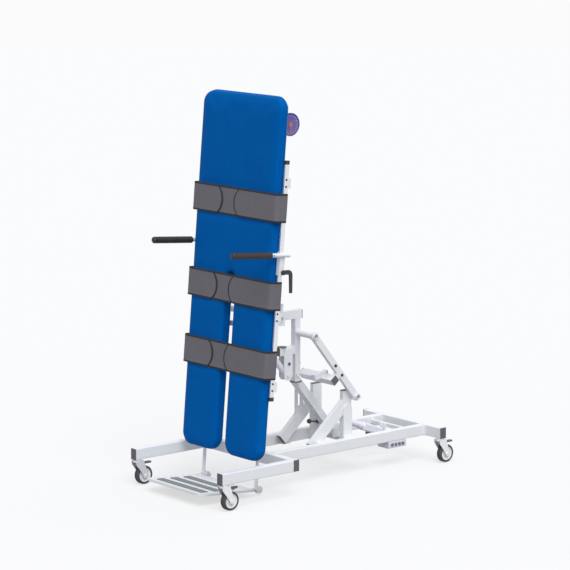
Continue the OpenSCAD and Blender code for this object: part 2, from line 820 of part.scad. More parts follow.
// Lift actuator, along its own axis from the rear pivot
module at_lift_act() place() at(lift_act_pivot) translate([arm_mid_x, 0, 0]) aim(lift_act_angle) children();
module lift_act_case() color(lavender) at_lift_act() difference() {
    union() {
        rod_x(2 * (act_eye_r - side_gap), -act_eye_w * half, act_eye_w * half);
        span([-act_eye_w * half, -act_eye_r * half, 0], [act_eye_w * half, act_eye_r * half, lift_case_start]);
        translate([0, 0, lift_case_start]) linear_extrude(lift_case_len)
            rounded(-lift_case_w * half, -lift_case_h * half, lift_case_w * half, lift_case_h * half, case_round);
        translate([0, 0, lift_case_start + lift_case_len]) cylinder(d = lift_collar_d, h = lift_collar_len);
        translate([0, 0, lift_case_start + lift_case_len + lift_collar_len])
            cylinder(d = act_tube_d, h = lift_tube_len);
    }
    rod_x(act_pin_d + 2 * running, -act_eye_w, act_eye_w);
    translate([0, 0, lift_case_start + lift_case_len - lift_rod_in])
        cylinder(d = act_rod_d + 2 * running, h = link_length);
}
module lift_act_rod() color(steel) at_lift_act() difference() {
    union() {
        translate([0, 0, lift_case_start + lift_case_len - lift_rod_in + side_gap])
            cylinder(d = act_rod_d, h = lift_act_len - lift_case_start - lift_case_len + lift_rod_in - side_gap);
        translate([0, 0, lift_act_len]) rod_x(2 * act_eye_r, -act_eye_w * half, act_eye_w * half);
    }
    translate([0, 0, lift_act_len]) rod_x(act_pin_d + 2 * running, -act_eye_w, act_eye_w);
}

// Lift post with head tube, actuator arm and their plates
module lift_post() color(white) place() difference() {
    union() {
        difference() {
            translate([-post_x, post_y - post_x, post_low]) cube([post_w, post_w, head_z - post_low]);
            translate([-post_x + post_wall, post_y - post_x + post_wall, post_low - overrun])
                cube([post_w - 2 * post_wall, post_w - 2 * post_wall, head_z]);
        }
        at(pivot_w) rod_x(w_bush_d, -post_x, post_x);
    }
    at(pivot_w) rod_x(w_pin_d + 2 * w_pin_play, -post_w, post_w);
}
module post_tubes() color(white) place() {
    translate([0, post_y + (head_tail - head_reach) * half, head_mid])
        hollow([post_w, head_reach + head_tail - 2 * cap_t, head_h], post_wall, 1);
    translate([0, post_y - (arm_reach - cap_t + post_x) * half, arm_z + arm_h * half])
        hollow([post_w, arm_reach - cap_t - post_x, arm_h], post_wall, 1);
    at(pivot_u) pipe_x(pivot_tube_d, pivot_tube_d - 2 * pivot_tube_wall, post_x, link_out + post_pivot_proud);
}
module post_caps() color(dark) place() {
    translate([0, post_y + head_tail - cap_t, head_mid]) rotate([-90, 0, 0]) plug(post_w, head_h, post_wall);
    translate([0, post_y - head_reach + cap_t, head_mid]) rotate([90, 0, 0]) plug(post_w, head_h, post_wall);
    translate([0, post_y - arm_reach + cap_t, arm_z + arm_h * half]) rotate([90, 0, 0]) plug(post_w, arm_h, post_wall);
    // The foot disc is cut flat beside the lower link
    difference() {
        translate([0, post_y, post_low - cap_t]) cylinder(d = post_foot_d, h = cap_t);
        translate([-post_foot_d - post_x, 0, 0]) cube([post_foot_d, post_foot_d, post_low]);
        translate([-post_foot_d - post_x, -post_foot_d, 0]) cube([post_foot_d, post_foot_d + overrun, post_low]);
    }
    translate([0, post_y - rest_pad_y, arm_z + arm_h]) cylinder(d = rest_pad_d, h = rest_pad_t);
    translate([0, post_y + post_x, post_bolt_z]) rotate([-90, 0, 0]) cylinder(d = bolt_af, h = bolt_t);
    both() at([hanger_bolt_y, hanger_bolt_z]) rod_x(bolt_af, post_x + hanger_t, post_x + hanger_t + hanger_pin_t);
}
// Cheeks that hold the tilt axis, and the hanger of the tilt actuator with its pin
module post_plates() color(white) place() {
    both() difference() {
        union() {
            at([tilt_y, tilt_z]) rod_x(2 * cheek_r, post_x, post_x + cheek_t);
            translate([post_x, 0, 0]) rotate([90, 0, 90]) linear_extrude(cheek_t)
                polygon([[tilt_y - cheek_r * cheek_shares[0], tilt_z - cheek_r * cheek_shares[1]],
                    [tilt_y + cheek_r * cheek_shares[0], tilt_z + cheek_r * cheek_shares[2]],
                    [tilt_y + cheek_back, head_z + head_h], [tilt_y + cheek_back, head_z],
                    [tilt_y + cheek_back * cheek_shares[0], head_z]]);
        }
        at([tilt_y, tilt_z]) rod_x(pivot_tube_d + 2 * running, 0, post_w + cheek_t);
    }
    both() {
        span([post_x, hanger_y0, tilt_act_pivot[1]], [post_x + hanger_t, hanger_y1, hanger_top]);
        translate([0, (hanger_y0 + hanger_y1) * half, tilt_act_pivot[1]])
            rod_x(hanger_y1 - hanger_y0, post_x, post_x + hanger_t);
        at(tilt_act_pivot) rod_x(hanger_pin_head, post_x + hanger_t, post_x + hanger_t + hanger_pin_t);
    }
    at(tilt_act_pivot) rod_x(act_pin_d, -post_x - hanger_t, post_x + hanger_t);
}

// Tilt actuator, from its pivot on the hanger to the table lug
table_pin = [to_y(table_pin_d, lug_l), to_z(table_pin_d, lug_l)];
tilt_act_vec = table_pin - tilt_act_pivot;
tilt_act_len = norm(tilt_act_vec);
tilt_act_angle = atan2(tilt_act_vec[1], -tilt_act_vec[0]);
module at_tilt_act() place() at(tilt_act_pivot) aim(tilt_act_angle) children();
module tilt_act_case() color(silver) at_tilt_act() difference() {
    union() {
        rod_x(2 * tilt_case_r, -tilt_case_w * half, tilt_case_w * half);
        cylinder(d = tilt_case_w, h = tilt_tube_len);
    }
    rod_x(act_pin_d + 2 * running, -tilt_case_w, tilt_case_w);
    translate([0, 0, tilt_rod_in - side_gap]) cylinder(d = act_rod_d + 2 * running, h = tilt_tube_len);
}
module tilt_act_rod() color(steel) at_tilt_act() difference() {
    union() {
        translate([0, 0, tilt_rod_in]) cylinder(d = act_rod_d, h = tilt_act_len - tilt_rod_in);
        translate([0, 0, tilt_act_len]) rod_x(2 * act_eye_r, -act_eye_w * half, act_eye_w * half);
    }
    translate([0, 0, tilt_act_len]) rod_x(act_pin_d + 2 * running, -act_eye_w, act_eye_w);
}

// Table frame
module side_tubes() color(white) place() on_table() both()
    translate([side_out - side_tube * half, side_mid_d, (side_start + side_end) * half])
        hollow([side_tube, side_tube, side_end - side_start], table_wall, 2);
// Cross tubes, the lugs of the tilt actuator on the lowest and the stay of the dial on the highest
module cross_tubes() color(white) place() on_table() {
    for (l = cross_places) translate([0, side_mid_d, l]) hollow([2 * side_in, side_tube, side_tube], table_wall, 0);
    translate([dial_x - leg_tube * half, leg_mid_d, side_end + stay_len * half])
        hollow([leg_tube, leg_tube, stay_len], table_wall, 2);
    for (side = [-1, 1]) translate([side * (act_eye_w + table_lug_t + 2 * side_gap) * half, 0, 0]) {
        span([-table_lug_t * half, frame_d + side_tube, lug_l - table_lug_r],
            [table_lug_t * half, table_pin_d, lug_l + table_lug_r]);
        translate([0, table_pin_d, lug_l]) {
            rod_x(2 * table_lug_r, -table_lug_t * half, table_lug_t * half);
            rod_x(table_lug_bolt, side == 1 ? 0 : -table_lug_bolt_t - table_lug_t * half,
                side == 1 ? table_lug_bolt_t + table_lug_t * half : 0);
        }
    }
}
module leg_tubes() color(white) place() on_table() both() {
    translate([leg_x, leg_mid_d, (leg_start + cross_places[0] - side_tube * half) * half])
        hollow([leg_tube, leg_tube, cross_places[0] - side_tube * half - leg_start], table_wall, 2);
    for (l = tie_places) span([leg_x + leg_tube * half, frame_d, l - side_tube * half],
        [side_in, frame_d + leg_tube, l + side_tube * half]);
}
module table_end_caps() color(dark) place() on_table() both() {
    for (end = [0, 1]) translate([side_out - side_tube * half, side_mid_d, end == 0 ? side_start : side_end])
        mirror([0, 0, 1 - end]) plug(side_tube, side_tube, table_wall);
    for (l = [rail_start, rail_start + rail_length - rail_cap_len])
        span([rail_x - rail_cap_wrap, rail_d - rail_cap_wrap, l],
            [rail_x + rail_t + rail_cap_wrap, rail_back, l + rail_cap_len]);
    difference() {
        translate([leg_x, leg_mid_d, leg_start]) mirror([0, 0, 1]) {
            translate([-leg_tube * half, -leg_tube * half, 0]) cube([leg_tube, leg_tube, bush_t]);
            translate([0, 0, -bush_in]) cylinder(d = leg_tube - 2 * table_wall - 2 * running, h = bush_in);
        }
        translate([leg_x, leg_mid_d, 0]) cylinder(d = foot_post_d + 2 * running, h = leg_start + 2 * bush_in);
    }
}
module tilt_yoke() color(white) place() on_table() difference() {
    union() {
        translate([0, tilt_d, tilt_l]) rod_x(pivot_tube_d, -side_out - yoke_proud, side_out + yoke_proud);
        both() {
            span([yoke_x, frame_d + side_tube, tilt_l - yoke_h * half],
                [side_out, yoke_back, tilt_l + yoke_h * half]);
            span([yoke_x, yoke_tab_d, tilt_l + yoke_h * half],
                [side_out, yoke_tab_d + yoke_tab_w, tilt_l + yoke_h * half + yoke_tab_h]);
        }
    }
    translate([0, tilt_d, tilt_l]) rod_x(pivot_tube_d - 2 * pivot_tube_wall, -2 * side_out, 2 * side_out);
}

// Boards and pads
module board(x0, x1, l0, l1) translate([0, frame_d, 0]) rotate([90, 0, 0]) linear_extrude(board_t)
    rounded(x0 + board_inset, l0 + board_inset, x1 - board_inset, l1 - board_inset, board_corner);
module slot(extra, d0, d1) {
    top = leg_pad_length + slot_depth - leg_gap * half;
    span([-leg_gap * half - extra, d0, leg_pad_length * half], [leg_gap * half + extra, d1, top]);
    translate([0, d1, top]) rotate([90, 0, 0]) cylinder(r = leg_gap * half + extra, h = d1 - d0);
}
module boards() color(white) place() on_table() {
    difference() {
        board(-pad_width * half, pad_width * half, leg_pad_length + pad_gap, pad_length);
        slot(slot_clear, pad_t - overrun, frame_d + overrun);
    }
    both() board(leg_gap * half, pad_width * half, 0, leg_pad_length);
}
// A cushion: level outlines with round corners, drawn in at the back, full at mid depth, crowned in front
module cushion(x0, x1, l0, l1, r0, r1) hull() {
    for (v = pad_levels) translate([0, v[0] * pad_t, 0]) outline(x0, x1, l0, l1, r0, r1, v[1] * pad_edge_inset);
    for (i = [0, 1]) translate([0, -crown_rise_shares[i] * pad_crown, 0])
        outline(x0, x1, l0, l1, r0, r1, crown_inset_shares[i] * crown_inset);
}
module outline(x0, x1, l0, l1, r0, r1, inset) for (x = [0, 1], l = [0, 1]) {
    r = max((l == 0 ? r0 : r1) - inset, thin);
    translate([x == 0 ? x0 + inset + r : x1 - inset - r, 0, l == 0 ? l0 + inset + r : l1 - inset - r])
        rotate([90, 0, 0]) cylinder(r = r, h = thin, $fn = hull_fn);
}
module trunk_pad() color(blue) place() on_table() difference() {
    cushion(-pad_width * half, pad_width * half, leg_pad_length + pad_gap, pad_length, pad_small, pad_corner);
    slot(0, -2 * pad_crown, pad_t + overrun);
}
module leg_pad() cushion(leg_gap * half, pad_width * half, 0, leg_pad_length, pad_corner, pad_small);
module leg_pad_near() color(blue) place() on_table() leg_pad();
module leg_pad_far() color(blue) place() on_table() mirror([1, 0, 0]) leg_pad();

// Accessory rails
module accessory_rails() color(silver) place() on_table() both()
    span([rail_x, rail_d, rail_start + rail_cap_len],
        [rail_x + rail_t, rail_back, rail_start + rail_length - rail_cap_len]);
module rail_brackets() color(white) place() on_table() both() for (l = rail_bracket_places) {
    span([side_out, frame_d, l - rail_bracket_w * half],
        [rail_x + rail_t, frame_d + rail_bracket_t, l + rail_bracket_w * half]);
    span([rail_x, rail_back, l - rail_bracket_w * half],
        [rail_x + rail_t, frame_d + rail_bracket_t, l + rail_bracket_w * half]);
}

// Straps: a band under two flaps with round ends, hooked round both rails
module strap_bands() color(grey) place() on_table()
for (l = strap_places) translate([0, 0, l - strap_width * half]) {
    span([-strap_in - strap_t, -strap_front - strap_t, 0], [strap_in + strap_t, -strap_front, strap_width]);
    both() span([strap_in, -strap_front - strap_t, 0], [strap_in + strap_t, strap_back + strap_t, strap_width]);
    both() span([strap_in - strap_hook, strap_back, 0], [strap_in + strap_t, strap_back + strap_t, strap_width]);
}
// One flap from the side at +X inwards to its round end at x = tip
module flap(l, tip) translate([0, -strap_front - strap_t, l]) rotate([90, 0, 0])
linear_extrude(strap_t) intersection() {
    translate([tip, -strap_width * half]) square([strap_in + strap_t - tip, strap_width]);
    union() {
        translate([tip + strap_end_r, 0]) circle(r = strap_end_r);
        translate([tip + strap_end_r, -strap_width * half]) square([2 * strap_in, strap_width]);
    }
}
module strap_flaps() color(grey) place() on_table() for (l = strap_places) {
    flap(l, strap_near_tip);
    mirror([1, 0, 0]) flap(l, strap_far_tip);
}

// The room for the rail through a clamp and its tube
module rail_room() span([rail_x - clamp_play, rail_d - clamp_play, 0],
    [rail_x + rail_t + clamp_play, rail_back + clamp_play, pad_length]);
// Handles: a clamp on the rail with its tube and lever screw, a grip and a lever
module handle_body(back) {
    difference() {
        span([rail_x - clamp_wall, rail_d - clamp_wall - clamp_play, handle_l - clamp_low],
            [rail_x + rail_t + clamp_play + clamp_plate, rail_back + clamp_play + clamp_wall, handle_l + clamp_high]);
        rail_room();
    }
    difference() {
        translate([handle_x, back - handle_show, handle_l]) rotate([-90, 0, 0])
            cylinder(d = handle_tube_d, h = handle_show + handle_tail);
        rail_room();
    }
    translate([0, lever_d, handle_l - lever_down]) {
        rod_x(lever_screw_d, lever_x - lever_gap - clamp_plate * half, lever_x + lever_thick + loose);
        rod_x(lever_screw_head, lever_x + lever_thick + loose, lever_x + lever_thick + loose + lever_screw_head_t);
    }
}
module handle_grip(back) translate([handle_x, back - handle_show, handle_l]) rotate([90, 0, 0])
rotate_extrude() polygon(concat(
    [[0, 0], [grip_d * half - grip_end * half, 0], [grip_d * half, grip_end * half]],
    [for (i = [0 : grip_rib_count - 1]) for (k = [0 : 3])
        [grip_d * half - (k == 1 || k == 2 ? grip_rib_h : 0),
            grip_length * (i + 1 + grip_rib_shares[k]) / (grip_rib_count + 1)]],
    [[grip_d * half, grip_length - grip_end],
        [grip_d * half - grip_end * grip_end_shares[0], grip_length - grip_end * grip_end_shares[0]],
        [grip_d * half - grip_end, grip_length], [0, grip_length]]));
module clamp_lever() translate([lever_x, lever_d, handle_l - lever_down]) difference() {
    union() {
        rod_x(lever_hub_d, 0, lever_thick);
        rotate([90, 0, 90]) linear_extrude(lever_thick) {
            translate([0, -lever_arm_w * half]) square([lever_reach, lever_arm_w]);
            translate([lever_reach, 0]) circle(d = lever_arm_w);
            polygon([[lever_reach - lever_arm_w * half, 0], [lever_reach + lever_arm_w * half, 0],
                [lever_reach + lever_bend + lever_arm_w * half, -lever_drop],
                [lever_reach + lever_bend - lever_arm_w * half, -lever_drop]]);
            translate([lever_reach + lever_bend, -lever_drop]) circle(d = lever_arm_w);
        }
    }
    rod_x(lever_screw_d + 2 * running, -overrun, lever_thick + overrun);
}
module handle_near() color(white) place() on_table() handle_body(0);
module handle_far() color(white) place() on_table() mirror([1, 0, 0]) handle_body(handle_setback);
module handle_grip_near() color(dark) place() on_table() handle_grip(0);
module handle_grip_far() color(dark) place() on_table() mirror([1, 0, 0]) handle_grip(handle_setback);
module clamp_lever_near() color(dark) place() on_table() clamp_lever();
module clamp_lever_far() color(dark) place() on_table() mirror([1, 0, 0]) clamp_lever();

// Angle dial
module dial_case() color(violet) place() on_table() translate([dial_x, dial_d, dial_l]) {
    difference() {
        rod_x(2 * dial_r, 0, dial_t);
        rod_x(2 * (dial_r - dial_rim), dial_t - dial_recess, 2 * dial_t);
    }
    rod_x(needle_pin_d, 0, dial_t - loose);
}
module dial_needle() color(orange) place() at([to_y(dial_d, dial_l), to_z(dial_d, dial_l)])
    translate([dial_x + dial_t - dial_recess + loose, 0, 0]) difference() {
        union() {
            rod_x(needle_hub_d, 0, needle_t);
            span([0, -needle_w * half, -needle_len], [needle_t, needle_w * half, 0]);
        }
        rod_x(needle_pin_d + 2 * running, -overrun, needle_t + overrun);
    }

// Footplate
module foot_posts() color(silver) place() on_table() both() difference() {
    union() {
        translate([leg_x, leg_mid_d, -foot_post_low]) cylinder(d = foot_post_d, h = foot_post_low + post_in);
        translate([0, knuckle_d, -plate_drop]) rod_x(2 * knuckle_r, leg_x - knuckle_w * half, leg_x + knuckle_w * half);
        span([leg_x - knuckle_w * half, leg_mid_d - foot_post_d * half, -plate_drop],
            [leg_x + knuckle_w * half, knuckle_d, -foot_post_low]);
    }
    translate([0, knuckle_d, -plate_drop]) rod_x(knuckle_pin_d + 2 * running, 0, 2 * leg_x);
}
module plate_outline(inset) {
    front = plate_front + inset;
    side = plate_width * half - inset;
    r = plate_corner - inset;
    translate([-side, front + r]) square([2 * side, plate_rear - inset - front - r]);
    translate([-side + r, front]) square([2 * (side - r), 2 * r]);
    for (x = [-side + r, side - r]) translate([x, front + r]) circle(r = r);
}
module footplate() color(white) place() on_table() {
    difference() {
        translate([0, 0, -plate_drop - plate_t * half]) linear_extrude(plate_t) plate_outline(0);
        translate([0, 0, -plate_drop + plate_t * half - plate_rim]) linear_extrude(plate_t) plate_outline(plate_rim_w);
    }
    both() translate([leg_x - knuckle_w * half - arm_gap - plate_arm_w, 0, -plate_drop]) {
        translate([0, knuckle_d, 0]) rod_x(2 * plate_arm_r, 0, plate_arm_w);
        span([0, plate_rear - plate_rim_w, -plate_t * half], [plate_arm_w, knuckle_d, plate_t * half]);
    }
    both() translate([leg_x, knuckle_d, -plate_drop]) {
        rod_x(knuckle_pin_d, -knuckle_w * half - arm_gap - plate_arm_w, knuckle_w * half + arm_gap + pin_head_t);
        rod_x(knuckle_pin_d + 2 * pin_head_t, knuckle_w * half + arm_gap, knuckle_w * half + arm_gap + pin_head_t);
    }
}
module grip_strips() color(dark) place() on_table() for (d = strip_places)
    span([-strip_half, d - strip_w * half, -plate_drop + plate_t * half - plate_rim],
        [strip_half, d + strip_w * half, -plate_drop + plate_t * half - plate_rim + strip_t]);

front_legs();
cross_members();
long_rails();
base_end_caps();
actuator_crossbar();
lift_columns();
column_braces();
base_pivots();
control_box();
control_sockets();
castor_seats();
castor_fork(0);  // castor_fork_front_near
castor_fork(1);  // castor_fork_front_far
castor_fork(2);  // castor_fork_rear_near
castor_fork(3);  // castor_fork_rear_far
castor_wheel(0);  // castor_wheel_front_near
castor_wheel(1);  // castor_wheel_front_far
castor_wheel(2);  // castor_wheel_rear_near
castor_wheel(3);  // castor_wheel_rear_far
castor_pedal(0);  // castor_pedal_front_near
castor_pedal(1);  // castor_pedal_front_far
castor_pedal(2);  // castor_pedal_rear_near
castor_pedal(3);  // castor_pedal_rear_far
release_lever();
upper_link();
link_cross_tube();
link_tube_caps();
lower_link();
lift_act_case();
lift_act_rod();
lift_post();
post_tubes();
post_caps();
post_plates();
tilt_act_case();
tilt_act_rod();
side_tubes();
cross_tubes();
leg_tubes();
table_end_caps();
tilt_yoke();
boards();
trunk_pad();
leg_pad_near();
leg_pad_far();
accessory_rails();
rail_brackets();
strap_bands();
strap_flaps();
handle_near();
handle_far();
handle_grip_near();
handle_grip_far();
clamp_lever_near();
clamp_lever_far();
dial_case();
dial_needle();
foot_posts();
footplate();
grip_strips();
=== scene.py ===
import math

import bmesh
import bpy
import numpy as np
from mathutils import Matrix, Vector


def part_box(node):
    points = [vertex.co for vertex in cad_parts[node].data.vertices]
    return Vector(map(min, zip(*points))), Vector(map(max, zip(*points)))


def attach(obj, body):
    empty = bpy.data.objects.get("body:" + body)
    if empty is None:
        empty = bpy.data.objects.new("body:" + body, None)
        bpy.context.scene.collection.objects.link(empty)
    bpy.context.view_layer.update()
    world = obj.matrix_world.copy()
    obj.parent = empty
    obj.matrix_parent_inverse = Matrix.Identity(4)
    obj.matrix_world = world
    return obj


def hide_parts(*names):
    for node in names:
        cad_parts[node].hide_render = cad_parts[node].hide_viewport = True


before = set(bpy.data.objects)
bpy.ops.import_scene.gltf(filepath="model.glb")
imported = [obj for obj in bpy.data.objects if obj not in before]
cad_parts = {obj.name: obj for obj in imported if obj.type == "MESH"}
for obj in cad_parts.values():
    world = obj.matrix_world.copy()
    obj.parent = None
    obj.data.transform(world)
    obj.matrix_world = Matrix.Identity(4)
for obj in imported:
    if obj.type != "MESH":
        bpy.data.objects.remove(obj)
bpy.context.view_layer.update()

mm = 0.001
both_sides = ((1, "near"), (-1, "far"))

# Camera, where the photograph was taken from: a long lens, about 14 m away and a little above the table.
# The Standard view shows each colour as it is given.
camera_data = bpy.data.cameras.new("camera")
camera_data.lens = 164.79
camera_data.sensor_width = 36
camera_data.clip_end = 100
camera = bpy.data.objects.new("camera", camera_data)
camera.location = (10.525, -8.88715, 3.3623)
towards_camera = Vector((0.75677, -0.63218, 0.16629))
camera.rotation_euler = (-towards_camera).to_track_quat("-Z", "Y").to_euler()
bpy.context.scene.collection.objects.link(camera)
bpy.context.scene.camera = camera
bpy.context.scene.view_settings.view_transform = "Standard"


# Studio: a pale floor without an edge, an even white surround and soft lamps.
# The floor glows for the camera only, so that it is as pale as the surround and still holds the shadow.
def linear(colour):
    """sRGB hex to linear RGBA, by the sRGB curve, which is straight near black."""
    channels = [int(colour[i:i + 2], 16) / 255 for i in (1, 3, 5)]
    return [c / 12.92 if c <= 0.04045 else ((c + 0.055) / 1.055) ** 2.4 for c in channels] + [1]


def add(tree, kind, settings=None, **sockets):
    """Adds one node to a tree. A socket's value is a constant, or the output socket that feeds it."""
    node = tree.nodes.new(kind)
    for name, value in (settings or {}).items():
        setattr(node, name, value)
    for name, value in sockets.items():
        socket = node.inputs[int(name[1:])] if name[1:].isdigit() else node.inputs[name.replace("_", " ")]
        if isinstance(value, bpy.types.NodeSocket):
            tree.links.new(value, socket)
        else:
            socket.default_value = value
    return node


def bare_tree(owner):
    owner.use_nodes = True
    owner.node_tree.nodes.clear()
    return owner.node_tree


def studio_world(backdrop, fill):
    """The backdrop's colour for camera, gloss and see-through rays, and a fill light for the rest."""
    world = bpy.data.worlds.new("studio")
    bpy.context.scene.world = world
    tree = bare_tree(world)
    rays = add(tree, "ShaderNodeLightPath")
    seen = add(tree, "ShaderNodeMath", {"operation": "MAXIMUM"}, _0=rays.outputs["Is Camera Ray"],
               _1=rays.outputs["Is Transmission Ray"])
    shown = add(tree, "ShaderNodeMath", {"operation": "MAXIMUM"}, _0=seen.outputs[0],
                _1=rays.outputs["Is Glossy Ray"])
    fill_light = add(tree, "ShaderNodeBackground", Color=linear("#F4F7FF"), Strength=fill)
    backdrop_light = add(tree, "ShaderNodeBackground", Color=linear(backdrop), Strength=1)
    mixed = add(tree, "ShaderNodeMixShader", _0=shown.outputs[0], _1=fill_light.outputs[0],
                _2=backdrop_light.outputs[0])
    add(tree, "ShaderNodeOutputWorld", Surface=mixed.outputs[0])


def studio_floor(backdrop, grey, glow):
    """A pale diffuse floor whose glow, seen by the camera and in gloss only, lifts it to the backdrop."""
    bpy.ops.mesh.primitive_circle_add(vertices=64, radius=30, fill_type="NGON", location=(0, 0, -0.001))
    floor = bpy.context.object
    floor.name = "floor"
    material = bpy.data.materials.new("studio_floor")
    tree = bare_tree(material)
    rays = add(tree, "ShaderNodeLightPath")
    shown = add(tree, "ShaderNodeMath", {"operation": "MAXIMUM"}, _0=rays.outputs["Is Camera Ray"],
                _1=rays.outputs["Is Glossy Ray"])
    strength = add(tree, "ShaderNodeMath", {"operation": "MULTIPLY"}, _0=shown.outputs[0], _1=glow)
    light = add(tree, "ShaderNodeEmission", Color=linear(backdrop), Strength=strength.outputs[0])
    matt = add(tree, "ShaderNodeBsdfDiffuse", Color=linear(grey))
    both = add(tree, "ShaderNodeAddShader", _0=light.outputs[0], _1=matt.outputs[0])
    add(tree, "ShaderNodeOutputMaterial", Surface=both.outputs[0])
    floor.data.materials.append(material)


def soft_lamp(name, from_side, spread, power):
    """A far lamp as wide as spread degrees, whose light comes evenly from one side."""
    lamp = bpy.data.lights.new(name, "SUN")
    lamp.angle = math.radians(spread)
    lamp.energy = power
    holder = bpy.data.objects.new(name, lamp)
    holder.rotation_euler = Vector(from_side).to_track_quat("Z", "Y").to_euler()
    bpy.context.scene.collection.objects.link(holder)


studio_world("#FBFBFB", 0.62)
studio_floor("#FCFCFC", "#969696", 0.643)
soft_lamp("lamp_above", (0.54, -0.24, 0.80), 50, 2.1)


# Base frame: square-cut steel tube, welded and powder coated white, with moulded plug caps in the ends.
# Each tube is drawn with the round corners of cold-formed tube, and a bead of weld runs round each joint.
def faces_between(rings, points, closed=False):
    """Quads between neighbouring rings of points; each ring is closed on itself."""
    i, j = np.meshgrid(np.arange(rings if closed else rings - 1), np.arange(points), indexing="ij")
    i2 = (i + 1) % rings
    j2 = (j + 1) % points
    quads = [i * points + j, i * points + j2, i2 * points + j2, i2 * points + j]
    return np.stack(quads, -1).reshape(-1, 4).tolist()


def skin(rings, closed=False):
    """A shell through rings of points. Unless it closes on itself, a flat face ends each side."""
    m, n = rings.shape[:2]
    faces = faces_between(m, n, closed)
    if not closed:
        faces += [list(range(n))[::-1], list(range((m - 1) * n, m * n))]
    return rings.reshape(-1, 3), faces


def together(shells):
    """Joins shells of points and faces into one."""
    points, faces, start = [], [], 0
    for p, f in shells:
        points.append(p)
        faces += [[k + start for k in face] for face in f]
        start += len(p)
    return np.concatenate(points), faces


def piece(name, shell, material, body, replaced=(), flat_below=40, which=None, uv=None):
    """Makes a mesh object of a closed shell, with its faces outwards, and lets it ride on a body.
    Where material is a list, which says for each face the one it takes. uv holds a pair for each point."""
    points, faces = shell
    materials = material if isinstance(material, list) else [material]
    mesh = bpy.data.meshes.new(name)
    mesh.from_pydata(points.tolist(), [], faces)
    work = bmesh.new()
    work.from_mesh(mesh)
    bmesh.ops.recalc_face_normals(work, faces=work.faces)
    work.to_mesh(mesh)
    work.free()
    mesh.shade_smooth()
    mesh.set_sharp_from_angle(angle=math.radians(flat_below))
    for each in materials:
        mesh.materials.append(each)
    if which is not None:
        mesh.polygons.foreach_set("material_index", np.asarray(which, np.int32))
    if uv is not None:
        corners = np.empty(len(mesh.loops), np.int32)
        mesh.loops.foreach_get("vertex_index", corners)
        pairs = np.asarray(uv)[corners].astype(np.float32)
        mesh.uv_layers.new(name="uv").data.foreach_set("uv", pairs.ravel())
    made = bpy.data.objects.new(name, mesh)
    bpy.context.scene.collection.objects.link(made)
    if body:
        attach(made, body)
    if replaced:
        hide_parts(*replaced)
    return made


def section(width, height, radius, steps=4):
    """A rectangle with round corners, anticlockwise: each corner is a quarter circle about its own centre.
    A point on the flat just before and after each corner keeps the shading of the flats even."""
    turn = np.linspace(0, math.pi / 2, steps)
    ease = radius * 0.15
    corners = [(1, 1, 0), (-1, 1, 1), (-1, -1, 2), (1, -1, 3)]
    arcs = []
    for sx, sy, k in corners:
        turned = turn + k * math.pi / 2
        middle = np.array([sx * (width / 2 - radius), sy * (height / 2 - radius)])
        arc = middle + radius * np.stack([np.cos(turned), np.sin(turned)], -1)
        before = arc[0] + ease * np.array([math.sin(turned[0]), -math.cos(turned[0])])
        after = arc[-1] + ease * np.array([-math.sin(turned[-1]), math.cos(turned[-1])])
        arcs += [before[None], arc, after[None]]
    return np.concatenate(arcs)


def axes_of(direction, up):
    """Three square axes: along, and the two of the section, the second as near to up as it can be."""
    along = np.array(direction, float) / np.linalg.norm(direction)
    side = np.cross(up, along)
    side /= np.linalg.norm(side)
    return along, side, np.cross(along, side)


tube_corner = 4 * mm
edge_break = 0.8 * mm


def bar(start, end, width, height, up=(0, 0, 1), radius=tube_corner):
    """A tube with both ends closed: its section carried from start to end, with each end's rim broken."""
    start, end = np.array(start, float), np.array(end, float)
    along, side, top = axes_of(end - start, up)
    full = section(width, height, radius)
    small = section(width - 2 * edge_break, height - 2 * edge_break, radius - edge_break)
    hair = along * edge_break
    places = [(start, small), (start + hair, full), (end - hair, full), (end, small)]
    return skin(np.array([p + o[:, :1] * side + o[:, 1:] * top for p, o in places]))


def bead(centre, direction, width, height, up=(0, 0, 1), radius=3 * mm, pitch=3.5 * mm):
    """A weld round a tube's end: a thin ring on the section's outline, which swells once every pitch."""
    along, side, top = axes_of(direction, up)
    outline = section(width, height, tube_corner, 6)
    outline = np.concatenate([np.linspace(outline[i], outline[(i + 1) % len(outline)], 12, endpoint=False)
                              for i in range(len(outline))])
    run = np.concatenate([[0], np.cumsum(np.linalg.norm(np.diff(outline, axis=0), axis=1))])
    out = outline / np.linalg.norm(outline, axis=1, keepdims=True)
    swell = radius * (0.85 + 0.15 * np.cos(2 * math.pi * run / pitch))
    turn = np.linspace(0, 2 * math.pi, 8, endpoint=False)
    outwards = out[:, :1] * side + out[:, 1:] * top
    middle = np.array(centre) + outline[:, :1] * side + outline[:, 1:] * top
    rings = (middle[:, None] + swell[:, None, None]
             * (np.cos(turn)[None, :, None] * outwards[:, None] + np.sin(turn)[None, :, None] * along))
    return skin(rings, closed=True)


